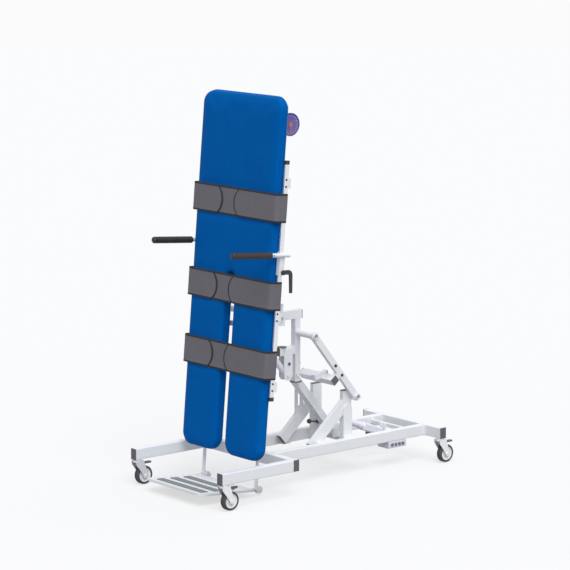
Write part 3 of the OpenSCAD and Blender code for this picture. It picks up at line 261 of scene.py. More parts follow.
def finish(name, low, high, patch_mm, rough, metallic=0.0, grain_mm=0.0, grain_depth=0.0, edge=0.0):
    """A surface with drifting colour and gloss, fine grain in relief, and edges softened by a small radius.
    low and high are its two shades, and rough the two ends of its roughness."""
    material = bpy.data.materials.new(name)
    tree = bare_tree(material)
    place = add(tree, "ShaderNodeTexCoord").outputs["Object"]
    patches = add(tree, "ShaderNodeTexNoise", Vector=place, Scale=1 / (patch_mm * mm), Detail=4,
                  Roughness=0.6)
    shade = add(tree, "ShaderNodeMix", {"data_type": "RGBA"}, _0=patches.outputs["Fac"], _6=linear(low),
                _7=linear(high))
    gloss = add(tree, "ShaderNodeMapRange", Value=patches.outputs["Fac"], _3=rough[0], _4=rough[1])
    shader = add(tree, "ShaderNodeBsdfPrincipled", Base_Color=shade.outputs[2], Roughness=gloss.outputs[0],
                 Metallic=metallic, IOR=1.5)
    normal = add(tree, "ShaderNodeBevel", {"samples": 4}, Radius=edge).outputs[0] if edge else None
    if grain_mm:
        grain = add(tree, "ShaderNodeTexNoise", Vector=place, Scale=1 / (grain_mm * mm), Detail=2)
        relief = add(tree, "ShaderNodeBump", Strength=0.35, Distance=grain_depth,
                     Height=grain.outputs["Fac"])
        if normal:
            tree.links.new(normal, relief.inputs["Normal"])
        normal = relief.outputs[0]
    if normal:
        tree.links.new(normal, shader.inputs["Normal"])
    add(tree, "ShaderNodeOutputMaterial", Surface=shader.outputs[0])
    return material


# Powder coat is a baked polyester film, semi-gloss, with an orange-peel texture about 2 mm across.
powder_coat = finish("powder_coat_white", "#E9EBEE", "#F1F2F4", 90, (0.32, 0.42), grain_mm=2.2,
                     grain_depth=0.12 * mm, edge=2 * mm)
# The plug caps are injection-moulded polyethylene, charcoal and matt, with a fine spark-eroded grain.
cap_plastic = finish("moulded_polyethylene_charcoal", "#545457", "#616164", 20, (0.5, 0.6), grain_mm=1.2,
                     grain_depth=0.08 * mm, edge=1.5 * mm)

tube_w = 40 * mm
tube_h = 60 * mm
leg_low, leg_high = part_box("front_legs")
rail_low, rail_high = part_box("long_rails")
cross_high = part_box("cross_members")[1]
middle_z = (leg_low.z + leg_high.z) / 2
front_cross_y = leg_high.y + tube_w / 2
rear_cross_y = cross_high.y - tube_w / 2
rail_x = rail_high.x - tube_w / 2
leg_x = leg_high.x - tube_w / 2
rear_half = 317 * mm
lift_cross_y = 319.35 * mm
lift_cross_h = 30 * mm
lift_z = leg_low.z + lift_cross_h / 2


def base_tube(name, node, start, end, height=tube_h):
    """One white tube of the base, which stands for a node or for a part of it."""
    piece(name, bar(start, end, tube_w, height), powder_coat, "base", (node,))


for side, label in both_sides:
    base_tube("front_leg_" + label, "front_legs", (side * leg_x, leg_low.y, middle_z),
              (side * leg_x, leg_high.y, middle_z))
    base_tube("long_rail_" + label, "long_rails", (side * rail_x, rail_low.y, middle_z),
              (side * rail_x, rail_high.y, middle_z))
base_tube("front_cross_member", "cross_members", (-cross_high.x, front_cross_y, middle_z),
          (cross_high.x, front_cross_y, middle_z))
base_tube("rear_cross_member", "cross_members", (-rear_half, rear_cross_y, middle_z),
          (rear_half, rear_cross_y, middle_z))
base_tube("lift_cross_member", "cross_members", (rail_low.x + tube_w, lift_cross_y, lift_z),
          (rail_high.x - tube_w, lift_cross_y, lift_z), lift_cross_h)
welds = [bead((side * leg_x, leg_high.y, middle_z), (0, 1, 0), tube_w, tube_h) for side in (1, -1)]
welds += [bead((side * rail_x, y, middle_z), (0, 1, 0), tube_w, tube_h)
          for side in (1, -1) for y in (rail_low.y, rail_high.y)]
welds += [bead((side * (rail_x - tube_w / 2), lift_cross_y, lift_z), (1, 0, 0), tube_w, lift_cross_h)
          for side in (1, -1)]
piece("base_welds", together(welds), powder_coat, "base")


def dress(nodes, material):
    """Gives CAD nodes that stay shown their finish."""
    for name in nodes:
        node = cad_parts[name]
        node.data.materials.clear()
        node.data.materials.append(material)


dress(["base_end_caps"], cap_plastic)
dress(["actuator_crossbar", "lift_columns", "column_braces", "base_pivots"], powder_coat)


# Control box: a lavender ABS housing screwed under the near rail, with four round sockets for the leads.
# Its moulded face is dull with a faint grain, and the sockets are a plain dark grey.
lavender_plastic = finish("moulded_abs_lavender", "#DAD8E8", "#E2E0EE", 40, (0.42, 0.52), grain_mm=1.5,
                          grain_depth=0.08 * mm, edge=2 * mm)
dress(["control_box"], lavender_plastic)
socket_grey = finish("moulded_abs_grey", "#6B6A74", "#787781", 10, (0.45, 0.55), edge=1 * mm)
dress(["control_sockets"], socket_grey)


# Castors: a grey rubber tyre on a white nylon centre with a ball race, in a zinc plated pressed fork.
def turned(centre, axis, profile, points=64, ring=False):
    """A lathe shape: profile rows are (place along the axis, radius), each row turned once round the axis.
    A ring closes its profile on itself; any other shape ends in flat discs."""
    along, side, top = axes_of(axis, (0.1, 0.2, 1) if abs(axis[2]) < 0.9 else (1, 0, 0))
    profile = np.array(profile, float)
    turn = np.linspace(0, 2 * math.pi, points, endpoint=False)
    round_it = np.cos(turn)[:, None] * side + np.sin(turn)[:, None] * top
    rings = np.array(centre) + profile[:, :1, None] * along + profile[:, 1:, None] * round_it
    return skin(rings, ring)


def arc_rows(place, radius, size, start, end, steps=6):
    """Profile rows on a quarter or other arc of the given size about (place, radius), angles in degrees."""
    angle = np.radians(np.linspace(start, end, steps))
    return [(place + size * math.sin(a), radius + size * math.cos(a)) for a in angle]


tyre_rubber = finish("rubber_grey_black", "#3B3B3D", "#48484A", 12, (0.62, 0.75), grain_mm=1.0,
                     grain_depth=0.1 * mm)
white_nylon = finish("moulded_nylon_white", "#EEEFF1", "#F4F5F6", 20, (0.35, 0.45), edge=1 * mm)
race_grey = finish("moulded_nylon_grey", "#8E8F93", "#999A9E", 15, (0.45, 0.55), edge=0.8 * mm)
zinc_plate = finish("zinc_plated_steel", "#E2E3E6", "#EEEFF1", 30, (0.3, 0.42), metallic=0.7, grain_mm=3,
                    grain_depth=0.05 * mm, edge=1.2 * mm)
wheel_r = 50 * mm
groove_half = 3 * mm
groove_r = wheel_r - 1 * mm
tyre_half = 17 * mm
centre_half = 15 * mm
rim_r = 38 * mm
corner_r = 7 * mm
race_r = 13 * mm
for label in ("front_near", "front_far", "rear_near", "rear_far"):
    low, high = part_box("castor_wheel_" + label)
    hub = (low + high) / 2
    tread = [(-tyre_half + 1 * mm, rim_r), (-tyre_half, rim_r + 1 * mm)]
    tread += arc_rows(-tyre_half + corner_r, wheel_r - corner_r, corner_r, -90, 0)
    tread += [(-groove_half, wheel_r), (-groove_half + 0.4 * mm, groove_r),
              (groove_half - 0.4 * mm, groove_r), (groove_half, wheel_r)]
    tread += arc_rows(tyre_half - corner_r, wheel_r - corner_r, corner_r, 0, 90)
    tread += [(tyre_half, rim_r + 1 * mm), (tyre_half - 1 * mm, rim_r)]
    web = [(-1, 0.01), (-1, race_r + 6 * mm), (-0.72, race_r + 8 * mm), (-0.72, rim_r - 6 * mm),
           (-0.95, rim_r - 3 * mm), (-0.95, rim_r - 0.05 * mm)]
    centre = [(a * centre_half, r) for a, r in web] + [(-a * centre_half, r) for a, r in web[::-1]]
    race = [(-18 * mm, 5 * mm), (-18.5 * mm, race_r - 1 * mm), (-17.5 * mm, race_r), (17.5 * mm, race_r),
            (18.5 * mm, race_r - 1 * mm), (18 * mm, 5 * mm)]
    for name, rows, material, ring in (("castor_tyre_", tread, tyre_rubber, True),
                                       ("castor_centre_", centre, white_nylon, False),
                                       ("castor_race_", race, race_grey, False)):
        piece(name + label, turned(hub, (1, 0, 0), rows, ring=ring), material, "wheel_" + label,
              ("castor_wheel_" + label,))
    dress(["castor_fork_" + label], zinc_plate)
    dress(["castor_pedal_" + label], cap_plastic)
dress(["castor_seats"], zinc_plate)


# Release lever: a thin rod in a boss, with a ball knob, all of it black.
# Phenolic is glossier than the caps' plastic, so it shows small bright edges.
phenolic = finish("phenolic_black", "#2B2B2D", "#353537", 15, (0.22, 0.32), edge=1 * mm)
dress(["release_lever"], phenolic)


# Lift links: an oblong steel tube above and a wider one below, on the pivot tubes of base and post.
# Two socket screws hold the cross tube under the upper link.
dress(["upper_link", "link_cross_tube", "lower_link"], powder_coat)
dress(["link_tube_caps"], cap_plastic)


def screw(centre, axis, across, height, washer):
    """A dome-headed screw on a washer: a short cylinder with its rim rounded off, on a flat ring."""
    edge = across * 0.12
    rows = [(0, washer), (1 * mm, washer), (1 * mm, across / 2), (height - edge, across / 2)]
    rows += [(height - edge * 0.3, across / 2 - edge * 0.3), (height, across / 2 - edge)]
    rows += [(height, across * 0.2), (height - 2 * mm, across * 0.2), (height - 2 * mm, 0.01 * mm)]
    return turned(centre, axis, rows, 32)


black_screw = finish("blacked_steel", "#2E2E31", "#3A3A3D", 10, (0.35, 0.45), metallic=0.5)
pack_shift_y = -22.651 * mm
link_pivot = np.array([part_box("upper_link")[1].x, 298 * mm + pack_shift_y, 418 * mm])
link_long = 470 * mm
link_slope = math.radians(51.1)
link_way = np.array([0, -math.cos(link_slope), math.sin(link_slope)])
link_screws = [screw(link_pivot + link_way * link_long * share, (1, 0, 0), 13 * mm, 7 * mm, 8 * mm)
               for share in (0.364, 0.519)]
piece("link_screws", together(link_screws), black_screw, "upper_link")


# Actuators: lavender moulded housings with bright steel rods; the tilt one has an extruded outer tube.
bright_steel = finish("ground_steel_bright", "#C4C6CA", "#D4D6DA", 25, (0.18, 0.28), metallic=1.0)
pale_plastic = finish("moulded_abs_pale_lavender", "#E9E8F4", "#F0EFF9", 40, (0.42, 0.52), grain_mm=1.5,
                      grain_depth=0.08 * mm, edge=2 * mm)
dress(["lift_act_case", "tilt_act_case"], pale_plastic)
dress(["lift_act_rod", "tilt_act_rod"], bright_steel)


# Post: square steel tube with its head tube, actuator arm, cheeks and hanger, all welded and powder coated.
dress(["lift_post", "post_tubes", "post_plates"], powder_coat)
dress(["post_caps"], cap_plastic)


# Table frame: square tube behind the pads, leaning five degrees back from the upright.
# Places on the table are x across, d behind the pads' front and l up from their foot end.
lean = math.radians(5)
foot = np.array([0, -528 * mm + pack_shift_y, 202 * mm])
up_table = np.array([0, math.sin(lean), math.cos(lean)])
behind = np.array([0, math.cos(lean), -math.sin(lean)])


def on_table(x, d, l):
    """The point of the room for table places, which may be arrays."""
    x, d, l = np.broadcast_arrays(np.asarray(x, float), d, l)
    return foot + x[..., None] * np.array([1.0, 0, 0]) + d[..., None] * behind + l[..., None] * up_table


side_x = 251.5 * mm
side_d = 84.5 * mm
side_size = 25 * mm
side_low_l = 60 * mm
side_high_l = 1690 * mm
for side, label in both_sides:
    tube = bar(on_table(side * side_x, side_d, side_low_l), on_table(side * side_x, side_d, side_high_l),
               side_size, side_size, up=behind, radius=3 * mm)
    piece("side_tube_" + label, tube, powder_coat, "table", ("side_tubes",))
dress(["cross_tubes", "leg_tubes", "tilt_yoke"], powder_coat)
dress(["table_end_caps"], phenolic)


# Boards: plywood, painted white, that the pads are stapled to.
# The paint is dull, with a faint coarse grain.
board_paint = finish("painted_plywood_white", "#E2E3E5", "#EBECEE", 60, (0.5, 0.6), grain_mm=6,
                     grain_depth=0.1 * mm, edge=1.5 * mm)
dress(["boards"], board_paint)


# Pads: thick foam on the boards under royal blue upholstery vinyl, pulled round the edge to the back.
# The vinyl is satin, with a fine pebble like leather, soft creases, and a little rubbed in places.
def upholstery(name, low, high, worn):
    material = bpy.data.materials.new(name)
    tree = bare_tree(material)
    place = add(tree, "ShaderNodeTexCoord").outputs["Object"]
    patches = add(tree, "ShaderNodeTexNoise", Vector=place, Scale=1 / (160 * mm), Detail=5, Roughness=0.55)
    shade = add(tree, "ShaderNodeMix", {"data_type": "RGBA"}, _0=patches.outputs["Fac"], _6=linear(low),
                _7=linear(high))
    rub = add(tree, "ShaderNodeTexNoise", Vector=place, Scale=1 / (55 * mm), Detail=6, Roughness=0.7)
    rubbed = add(tree, "ShaderNodeMapRange", Value=rub.outputs["Fac"], _1=0.52, _2=0.8, _3=0.0, _4=0.35)
    colour = add(tree, "ShaderNodeMix", {"data_type": "RGBA"}, _0=rubbed.outputs[0], _6=shade.outputs[2],
                 _7=linear(worn))
    gloss = add(tree, "ShaderNodeMapRange", Value=rub.outputs["Fac"], _3=0.44, _4=0.58)
    pebble = add(tree, "ShaderNodeTexVoronoi", {"feature": "SMOOTH_F1"}, Vector=place, Scale=1 / (2.4 * mm))
    creases = add(tree, "ShaderNodeTexNoise", Vector=place, Scale=1 / (9 * mm), Detail=4, Distortion=0.8)
    fine = add(tree, "ShaderNodeBump", Strength=0.25, Distance=0.12 * mm, Height=pebble.outputs["Distance"])
    coarse = add(tree, "ShaderNodeBump", Strength=0.2, Distance=0.4 * mm, Height=creases.outputs["Fac"],
                 Normal=fine.outputs[0])
    shader = add(tree, "ShaderNodeBsdfPrincipled", Base_Color=colour.outputs[2], Roughness=gloss.outputs[0],
                 IOR=1.5, Normal=coarse.outputs[0], Specular_IOR_Level=0.02)
    add(tree, "ShaderNodeOutputMaterial", Surface=shader.outputs[0])
    return material


blue_vinyl = upholstery("upholstery_vinyl_royal_blue", "#005BA8", "#0062B2", "#00549C")
pad_half = 325 * mm
pad_top = 1900 * mm
trunk_low = 872 * mm
leg_top = 868 * mm
gap_half = 35 * mm
notch_l = 927 * mm
big_corner = 72 * mm
small_corner = 18 * mm
pad_thick = 60 * mm
strap_half = 75 * mm
strap_places = {"low": 514 * mm, "mid": 875 * mm, "high": 1331 * mm}
near_an_edge = np.array([0, 0.4, 1.2, 2.5, 4.5, 7, 10, 14, 19, 26, 35, 47, 60]) * mm


def stations(start, end, pitch):
    """Places from start to end, close together near both and a pitch apart between."""
    low = start + near_an_edge
    high = end - near_an_edge[::-1]
    between = np.linspace(low[-1], high[0], round((high[0] - low[-1]) / pitch) + 1)[1:-1]
    return np.concatenate([low, between, high])


def eased(t):
    """0 below 0, 1 above 1, and 3 t squared less 2 t cubed between."""
    t = np.clip(t, 0, 1)
    return t * t * (3 - 2 * t)


def inside_round(x, l, x0, x1, l0, l1, r0, r1):
    """Distance inside a rectangle with round corners: to the nearest side, or to the arc in a corner."""
    r = np.where(l < (l0 + l1) / 2, r0, r1)
    dx = np.minimum(x - x0, x1 - x)
    dl = np.minimum(l - l0, l1 - l)
    return np.where((dx < r) & (dl < r), r - np.hypot(r - dx, r - dl), np.minimum(dx, dl))


def inside_trunk(x, l):
    """The same for the trunk pad, or the distance to its notch between the legs where that is nearer."""
    notch = np.where(l < notch_l, np.abs(x), np.hypot(x, l - notch_l)) - gap_half
    whole = inside_round(x, l, -pad_half, pad_half, trunk_low, pad_top, small_corner, big_corner)
    return np.minimum(whole, notch)


def inside_leg(x, l):
    return inside_round(x, l, gap_half, pad_half, 0, leg_top, big_corner, small_corner)


def corner_rise(inset, r):
    """How far an arc of radius r lies from its flat side, at an inset from the other side."""
    return r - np.sqrt(np.clip(r ** 2 - np.clip(r - inset, 0, r) ** 2, 0, None))


def front_depth(x, l, inside):
    """Depth of the vinyl behind the pad's flat front. A quarter ellipse 12 by 8 mm goes round every edge,
    one of 66 by 20 mm goes round the head end, a crown of 4 mm rises over 110 mm, and slow waves lie over
    it all."""
    edge = 8 * mm * (1 - np.sqrt(1 - np.clip(1 - inside / (12 * mm), 0, 1) ** 2))
    head = 20 * mm * (1 - np.sqrt(1 - np.clip(1 - (pad_top - l) / (66 * mm), 0, 1) ** 2))
    crown = 4 * mm * (1 - (1 - np.clip(inside / (110 * mm), 0, 1)) ** 2)
    waves = 0.5 * mm * np.sin(x / (71 * mm) + 1.3 * np.sin(l / (190 * mm))) * np.cos(l / (93 * mm))
    drag = 0.4 * mm * np.sin((x + 0.6 * l) / (17 * mm) + 2.1 * np.sin(l / (60 * mm)))
    drag *= np.exp(-((inside - 30 * mm) / (24 * mm)) ** 2)
    return edge + head - crown + (waves + drag) * np.clip(inside / (20 * mm), 0, 1)


def cushion_shell(sheets, keep):
    """Closes a cushion. The first sheet is the front grid and the last the back grid, with a face for each
    kept cell; the outline of the kept cells joins each sheet to the next."""
    sheets = np.array(sheets)
    size = sheets.shape[1] * sheets.shape[2]
    i, j = np.nonzero(keep)
    a = i * sheets.shape[2] + j
    b = a + sheets.shape[2]
    cells = np.stack([a, b, b + 1, a + 1], -1)
    edges = np.stack([cells, np.roll(cells, -1, 1)], -1).reshape(-1, 2)
    alone = ~np.isin(edges[:, 0] * size + edges[:, 1], edges[:, 1] * size + edges[:, 0])
    start, end = edges[alone].T
    faces = [cells[:, ::-1], cells + (len(sheets) - 1) * size]
    for k in range(len(sheets) - 1):
        faces.append(np.stack([start, end, end + size, start + size], -1) + k * size)
    faces = np.concatenate(faces)
    used, numbers = np.unique(faces, return_inverse=True)
    return sheets.reshape(-1, 3)[used], numbers.reshape(faces.shape).tolist()


def pad_sheets(x, l, inside_at, tuck=1):
    """The front grid, five lines round the side and the back grid of a pad. Each line lies at a share of
    the way from the front's edge to the back, and out from the outline: full at first and drawn in by 18 mm
    behind, or by the share of that which tuck gives."""
    inside = np.maximum(inside_at(x, l), 0)
    h = 0.5 * mm
    out_x = inside_at(x - h, l) - inside_at(x + h, l)
    out_l = inside_at(x, l - h) - inside_at(x, l + h)
    size = np.maximum(np.hypot(out_x, out_l), 1e-9)
    out_x, out_l = out_x / size, out_l / size
    depth = front_depth(x, l, inside)
    sheets = [on_table(x, depth, l)]
    for share, out in ((0.15, 0.6), (0.4, 0.9), (0.62, -0.5), (0.8, -5), (0.92, -11)):
        push = out * mm * (tuck if out < 0 else 1)
        sheets.append(on_table(x + push * out_x, depth + share * (pad_thick - depth), l + push * out_l))
    drawn = 18 * mm * tuck * np.clip(1 - inside / (60 * mm), 0, 1)
    sheets.append(on_table(x - drawn * out_x, pad_thick - 0.2 * mm, l - drawn * out_l))
    return sheets


def swell(pad, most):
    """Blows a pad up like foam under a tight cover: cloth with air pressure, held 30 mm behind the front.
    No point moves further than most, and below a strap the front stays behind it."""
    points = np.empty(len(pad.data.vertices) * 3)
    pad.data.vertices.foreach_get("co", points)
    rest = points.reshape(-1, 3)
    held = (rest - foot) @ behind > 30 * mm
    moved = rest
    group = pad.vertex_groups.new(name="held")
    group.add(np.nonzero(held)[0].tolist(), 1.0, "REPLACE")
    cloth = pad.modifiers.new("swell", "CLOTH")
    cloth.settings.vertex_group_mass = "held"
    cloth.settings.use_pressure = True
    cloth.settings.uniform_pressure_force = 4
    cloth.settings.effector_weights.gravity = 0
    cloth.settings.quality = 4
    cloth.point_cache.frame_end = 20
    for step in range(1, 21):
        bpy.context.scene.frame_set(step)
    shaped = pad.evaluated_get(bpy.context.evaluated_depsgraph_get()).to_mesh()
    points = np.empty(len(rest) * 3)
    shaped.vertices.foreach_get("co", points)
    away = points.reshape(-1, 3) - rest
    pad.modifiers.remove(cloth)
    pad.vertex_groups.remove(group)
    bpy.context.scene.frame_set(1)
    far = np.maximum(np.linalg.norm(away, axis=1), 1e-9)
    moved = rest + away * (most * np.tanh(far / most) / far)[:, None]
    d = (moved - foot) @ behind
    l = (moved - foot) @ up_table
    free = np.ones(len(d))
    for place in strap_places.values():
        free = np.minimum(free, eased((np.abs(l - place) - strap_half - 4 * mm) / (38 * mm)))
    limit = -4.1 * mm - 3.6 * mm * free
    front = ~held & (d < limit)
    moved = moved + np.where(front, limit - d, 0)[:, None] * behind
    pad.data.vertices.foreach_set("co", moved.ravel())
    pad.data.update()
    smooth = pad.modifiers.new("smooth", "SUBSURF")
    smooth.levels = 1
    smooth.render_levels = 1


pad_pitch = 14 * mm
most_swell = 4 * mm
leg_columns = stations(gap_half, pad_half, pad_pitch)
leg_share = stations(0, leg_top, pad_pitch) / leg_top
leg_inset = np.minimum(leg_columns - gap_half, pad_half - leg_columns)
leg_start = corner_rise(leg_inset, big_corner)[:, None]
leg_end = leg_top - corner_rise(leg_inset, small_corner)[:, None]
leg_l = leg_start + leg_share * (leg_end - leg_start)
leg_grid = np.broadcast_to(leg_columns[:, None], leg_l.shape)
leg_cells = np.ones((leg_l.shape[0] - 1, leg_l.shape[1] - 1), bool)
for side, label in both_sides:
    sheets = np.array(pad_sheets(leg_grid, leg_l, inside_leg)) * (side, 1, 1)
    pad = piece("leg_cushion_" + label, cushion_shell(sheets, leg_cells), blue_vinyl, "table",
                ("leg_pad_" + label,), flat_below=180)
    swell(pad, most_swell)

notch_x = gap_half * np.sin(np.radians(np.linspace(-90, 90, 13)))[1:-1]
trunk_x = np.concatenate([-leg_columns[::-1], notch_x, leg_columns])
trunk_inset = pad_half - np.abs(trunk_x)
trunk_start = (trunk_low + corner_rise(trunk_inset, small_corner))[:, None]
trunk_end = (pad_top - corner_rise(trunk_inset, big_corner))[:, None]
notch_end = (notch_l + np.sqrt(np.clip(gap_half ** 2 - trunk_x ** 2, 0, None)))[:, None]
low_share = np.array([0, 0.4, 1.2, 2.5, 4.5, 7, 10, 14, 19, 26, 35, 45]) * mm / (notch_l - trunk_low)
high_share = (stations(notch_l, pad_top, pad_pitch) - notch_l) / (pad_top - notch_l)
trunk_l = np.concatenate([trunk_start + low_share * (notch_l - trunk_start),
                          notch_end + high_share * (trunk_end - notch_end)], 1)
trunk_grid = np.broadcast_to(trunk_x[:, None], trunk_l.shape)
trunk_cells = np.ones((trunk_l.shape[0] - 1, trunk_l.shape[1] - 1), bool)
in_notch = np.abs(trunk_x[1:] + trunk_x[:-1]) / 2 < gap_half
trunk_cells[in_notch, :len(low_share)] = False
near_notch = eased((120 * mm - np.abs(trunk_grid)) / (60 * mm)) * eased((1030 * mm - trunk_l) / (60 * mm))
sheets = pad_sheets(trunk_grid, trunk_l, inside_trunk, 1 - 0.75 * near_notch)
trunk = piece("trunk_cushion", cushion_shell(sheets, trunk_cells), blue_vinyl, "table", ("trunk_pad",),
              flat_below=180)
swell(trunk, most_swell)


# Straps: three wide patient straps of padded grey fabric, each a band under two flaps that close on it.
# Black tape is sewn over every edge. The flaps go round the pad's sides and hook behind the rails.
def webbing(name, low, high, thread, relief, rough):
    """Woven cloth: ribs across each other a thread apart along the piece's own length and width."""
    material = bpy.data.materials.new(name)
    tree = bare_tree(material)
    place = add(tree, "ShaderNodeUVMap", {"uv_map": "uv"}).outputs[0]
    spot = add(tree, "ShaderNodeTexCoord").outputs["Object"]
    patches = add(tree, "ShaderNodeTexNoise", Vector=spot, Scale=1 / (35 * mm), Detail=6, Roughness=0.65)
    colour = add(tree, "ShaderNodeMix", {"data_type": "RGBA"}, _0=patches.outputs["Fac"], _6=linear(low),
                 _7=linear(high))
    ribs = add(tree, "ShaderNodeTexWave", {"bands_direction": "X"}, Vector=place, Scale=0.314 / thread)
    rows = add(tree, "ShaderNodeTexWave", {"bands_direction": "Y"}, Vector=place, Scale=0.314 / thread)
    weave = add(tree, "ShaderNodeMath", {"operation": "MULTIPLY"}, _0=ribs.outputs["Fac"],
                _1=rows.outputs["Fac"])
    bump = add(tree, "ShaderNodeBump", Strength=0.5, Distance=relief, Height=weave.outputs[0])
    shader = add(tree, "ShaderNodeBsdfPrincipled", Base_Color=colour.outputs[2], Roughness=rough,
                 Normal=bump.outputs[0], Specular_IOR_Level=0.25, Sheen_Weight=0.06, Sheen_Roughness=0.5)
    add(tree, "ShaderNodeOutputMaterial", Surface=shader.outputs[0])
    return material


strap_fabric = webbing("woven_polyester_grey", "#69686D", "#747378", 2.2 * mm, 0.35 * mm, 0.85)
edge_tape = webbing("sewn_tape_black", "#2A2A2D", "#343437", 1.6 * mm, 0.3 * mm, 0.8)
tape_wide = 10 * mm
band_d = -6.1 * mm
flap_d = -9.4 * mm
flap_side_x = 346.6 * mm
hook_d = 65.6 * mm
arc_r = 82 * mm
rail_bend = 5 * mm
pad_bend = 18.5 * mm
hidden_end_x = 329 * mm
band_half = 300 * mm
from_the_edge = np.array([0, 0.7, 2, 4.5, 7, 10, 12, 20]) * mm


def flap_line():
    """The flap's middle line in x and d from its hidden end: behind the rail, round it with a tight bend,
    along the side, round the pad's edge with a wider one, and inwards over the front."""
    tight = np.radians(np.linspace(90, 0, 6))
    wide = np.radians(np.linspace(0, -90, 12))
    x = np.concatenate([[hidden_end_x], flap_side_x - rail_bend + rail_bend * np.cos(tight),
                        flap_side_x - pad_bend + pad_bend * np.cos(wide), [0]])
    d = np.concatenate([[hook_d], hook_d - rail_bend + rail_bend * np.sin(tight),
                        flap_d + pad_bend + pad_bend * np.sin(wide), [flap_d]])
    return x, d, np.concatenate([[0], np.cumsum(np.hypot(np.diff(x), np.diff(d)))])


def strap_shell(x, d, out_x, out_d, l, inset):
    """A strap's shell from the grid of its middle: 1.6 mm out to the front and 1.5 mm to the back, with the
    taped edge 0.4 mm proud in front and rounded off towards the outline."""
    taped = 1.6 * mm + 0.4 * mm * (1 - eased((inset - tape_wide) / (2 * mm)))
    half = taped * (0.35 + 0.65 * np.sqrt(1 - np.clip(1 - inset / (2 * mm), 0, 1) ** 2))
    front = on_table(x + out_x * half, d + out_d * half, l)
    under = np.minimum(half, 1.5 * mm)
    back = on_table(x - out_x * under, d - out_d * under, l)
    return cushion_shell([front, back], np.ones((x.shape[0] - 1, x.shape[1] - 1), bool))


def strap_faces(inset):
    """The material of each face of a strap: tape where the cell's middle is within the tape's width."""
    middle = (inset[:-1, :-1] + inset[1:, :-1] + inset[:-1, 1:] + inset[1:, 1:]) / 4
    cells = (middle < tape_wide).ravel().astype(int)
    rim = 2 * (inset.shape[0] + inset.shape[1] - 2)
    return np.concatenate([cells, cells, np.ones(rim, int)])


across_half = np.concatenate([from_the_edge, np.linspace(20 * mm, strap_half, 6)[1:]])
across = np.concatenate([-(strap_half - across_half), (strap_half - across_half)[-2::-1]])
line_x, line_d, line_run = flap_line()


def strap_piece(name, shell, run, v, inset, replaced):
    """One strap sheet: fabric inside the tape, with the weave laid out on its flat length and width."""
    flat_uv = np.stack([run, v], -1).reshape(-1, 2)
    return piece(name, shell, [strap_fabric, edge_tape], "table", replaced, flat_below=60,
                 which=strap_faces(inset), uv=np.concatenate([flat_uv, flat_uv]))


for name, place in strap_places.items():
    x, v = np.meshgrid(np.linspace(-band_half, band_half, 41), across, indexing="ij")
    inset = strap_half - np.abs(v)
    shell = strap_shell(x, np.full(x.shape, band_d), 0 * x, 0 * x - 1, place + v, inset)
    band = strap_piece("strap_band_" + name, shell, x, v, inset, ("strap_bands",))
    for side, label, tip in ((1, "near", 0), (-1, "far", 90 * mm)):
        reach = line_run[-1] - tip - (arc_r - np.sqrt(arc_r ** 2 - across ** 2))
        share = np.linspace(0, 1, 56)[1:]
        run = np.concatenate([reach[None] - from_the_edge[:, None],
                              (reach[None] - from_the_edge[-1]) * (1 - share[:, None])])
        v = np.broadcast_to(across, run.shape)
        inset = np.minimum(strap_half - np.abs(v), reach[None] - run)
        wave = 0.4 * mm * (1 + np.sin(run / (61 * mm) + v / (47 * mm) + place / (37 * mm)))
        x = np.interp(run, line_run, line_x)
        d = np.interp(run, line_run, line_d)
        step = 0.3 * mm
        along_x = np.interp(run + step, line_run, line_x) - np.interp(run - step, line_run, line_x)
        along_d = np.interp(run + step, line_run, line_d) - np.interp(run - step, line_run, line_d)
        size = np.maximum(np.hypot(along_x, along_d), 1e-9)
        out_x, out_d = -along_d / size, along_x / size
        d = d - wave * eased((run - 60 * mm) / (80 * mm))
        points, faces = strap_shell(x, d, out_x, out_d, place + v, inset)
        shell = (points * (side, 1, 1), faces)
        flap = strap_piece("strap_flap_" + name + "_" + label, shell, run, v, inset,
                           ("strap_flaps", "strap_bands"))


# Accessory rails: 25 by 10 mm aluminium bar, satin anodised, screwed to welded brackets with black screws.
# The anodised face is satin, a little grey beside the white paint.
anodised = finish("anodised_aluminium_satin", "#DFE0E4", "#E8E9EC", 80, (0.36, 0.46), metallic=0.85,
                  grain_mm=4, grain_depth=0.04 * mm, edge=1 * mm)
dress(["accessory_rails"], anodised)
dress(["rail_brackets"], powder_coat)
rail_out = 343 * mm
rail_d = 50.5 * mm
bracket_places = (400 * mm, 765 * mm, 1460 * mm)
rail_screws = [screw(on_table(side * rail_out, rail_d, l + up), (side, 0, 0), 9 * mm, 3.5 * mm, 5.5 * mm)
               for side in (1, -1) for l in bracket_places for up in (-18 * mm, 18 * mm)]
piece("rail_screws", together(rail_screws), black_screw, "table")


# Handles: white tube through a clamp on the rail, with a soft black grip that has fine rings round it.
# The head of the lever screw, outside the lever, is blacked.
grip_pvc = finish("soft_pvc_black", "#1D1D1F", "#282729", 18, (0.5, 0.62), grain_mm=1.2,
                  grain_depth=0.08 * mm)
grip_r = 18 * mm
grip_long = 260 * mm
grip_x = 356.3 * mm
grip_l = 1090 * mm
screw_face_x = 367 * mm
lever_face_x = 365.4 * mm
lever_head_l = 1015 * mm
rings = np.arange(18, 236, 6) * mm
ring_rows = [row for a in rings for row in ((a, grip_r), (a + 0.8 * mm, grip_r - 0.7 * mm),
                                            (a + 2.2 * mm, grip_r - 0.7 * mm), (a + 3 * mm, grip_r))]
grip_rows = [(0, 11.2 * mm), (0, grip_r - 3 * mm), (1 * mm, grip_r - 1 * mm), (3 * mm, grip_r)] + ring_rows
grip_rows += [(grip_long - 12 * mm + a, r) for a, r in arc_rows(0, grip_r - 12 * mm, 12 * mm, 0, 88, 9)]
grip_rows += [(grip_long, 0.5 * mm)]
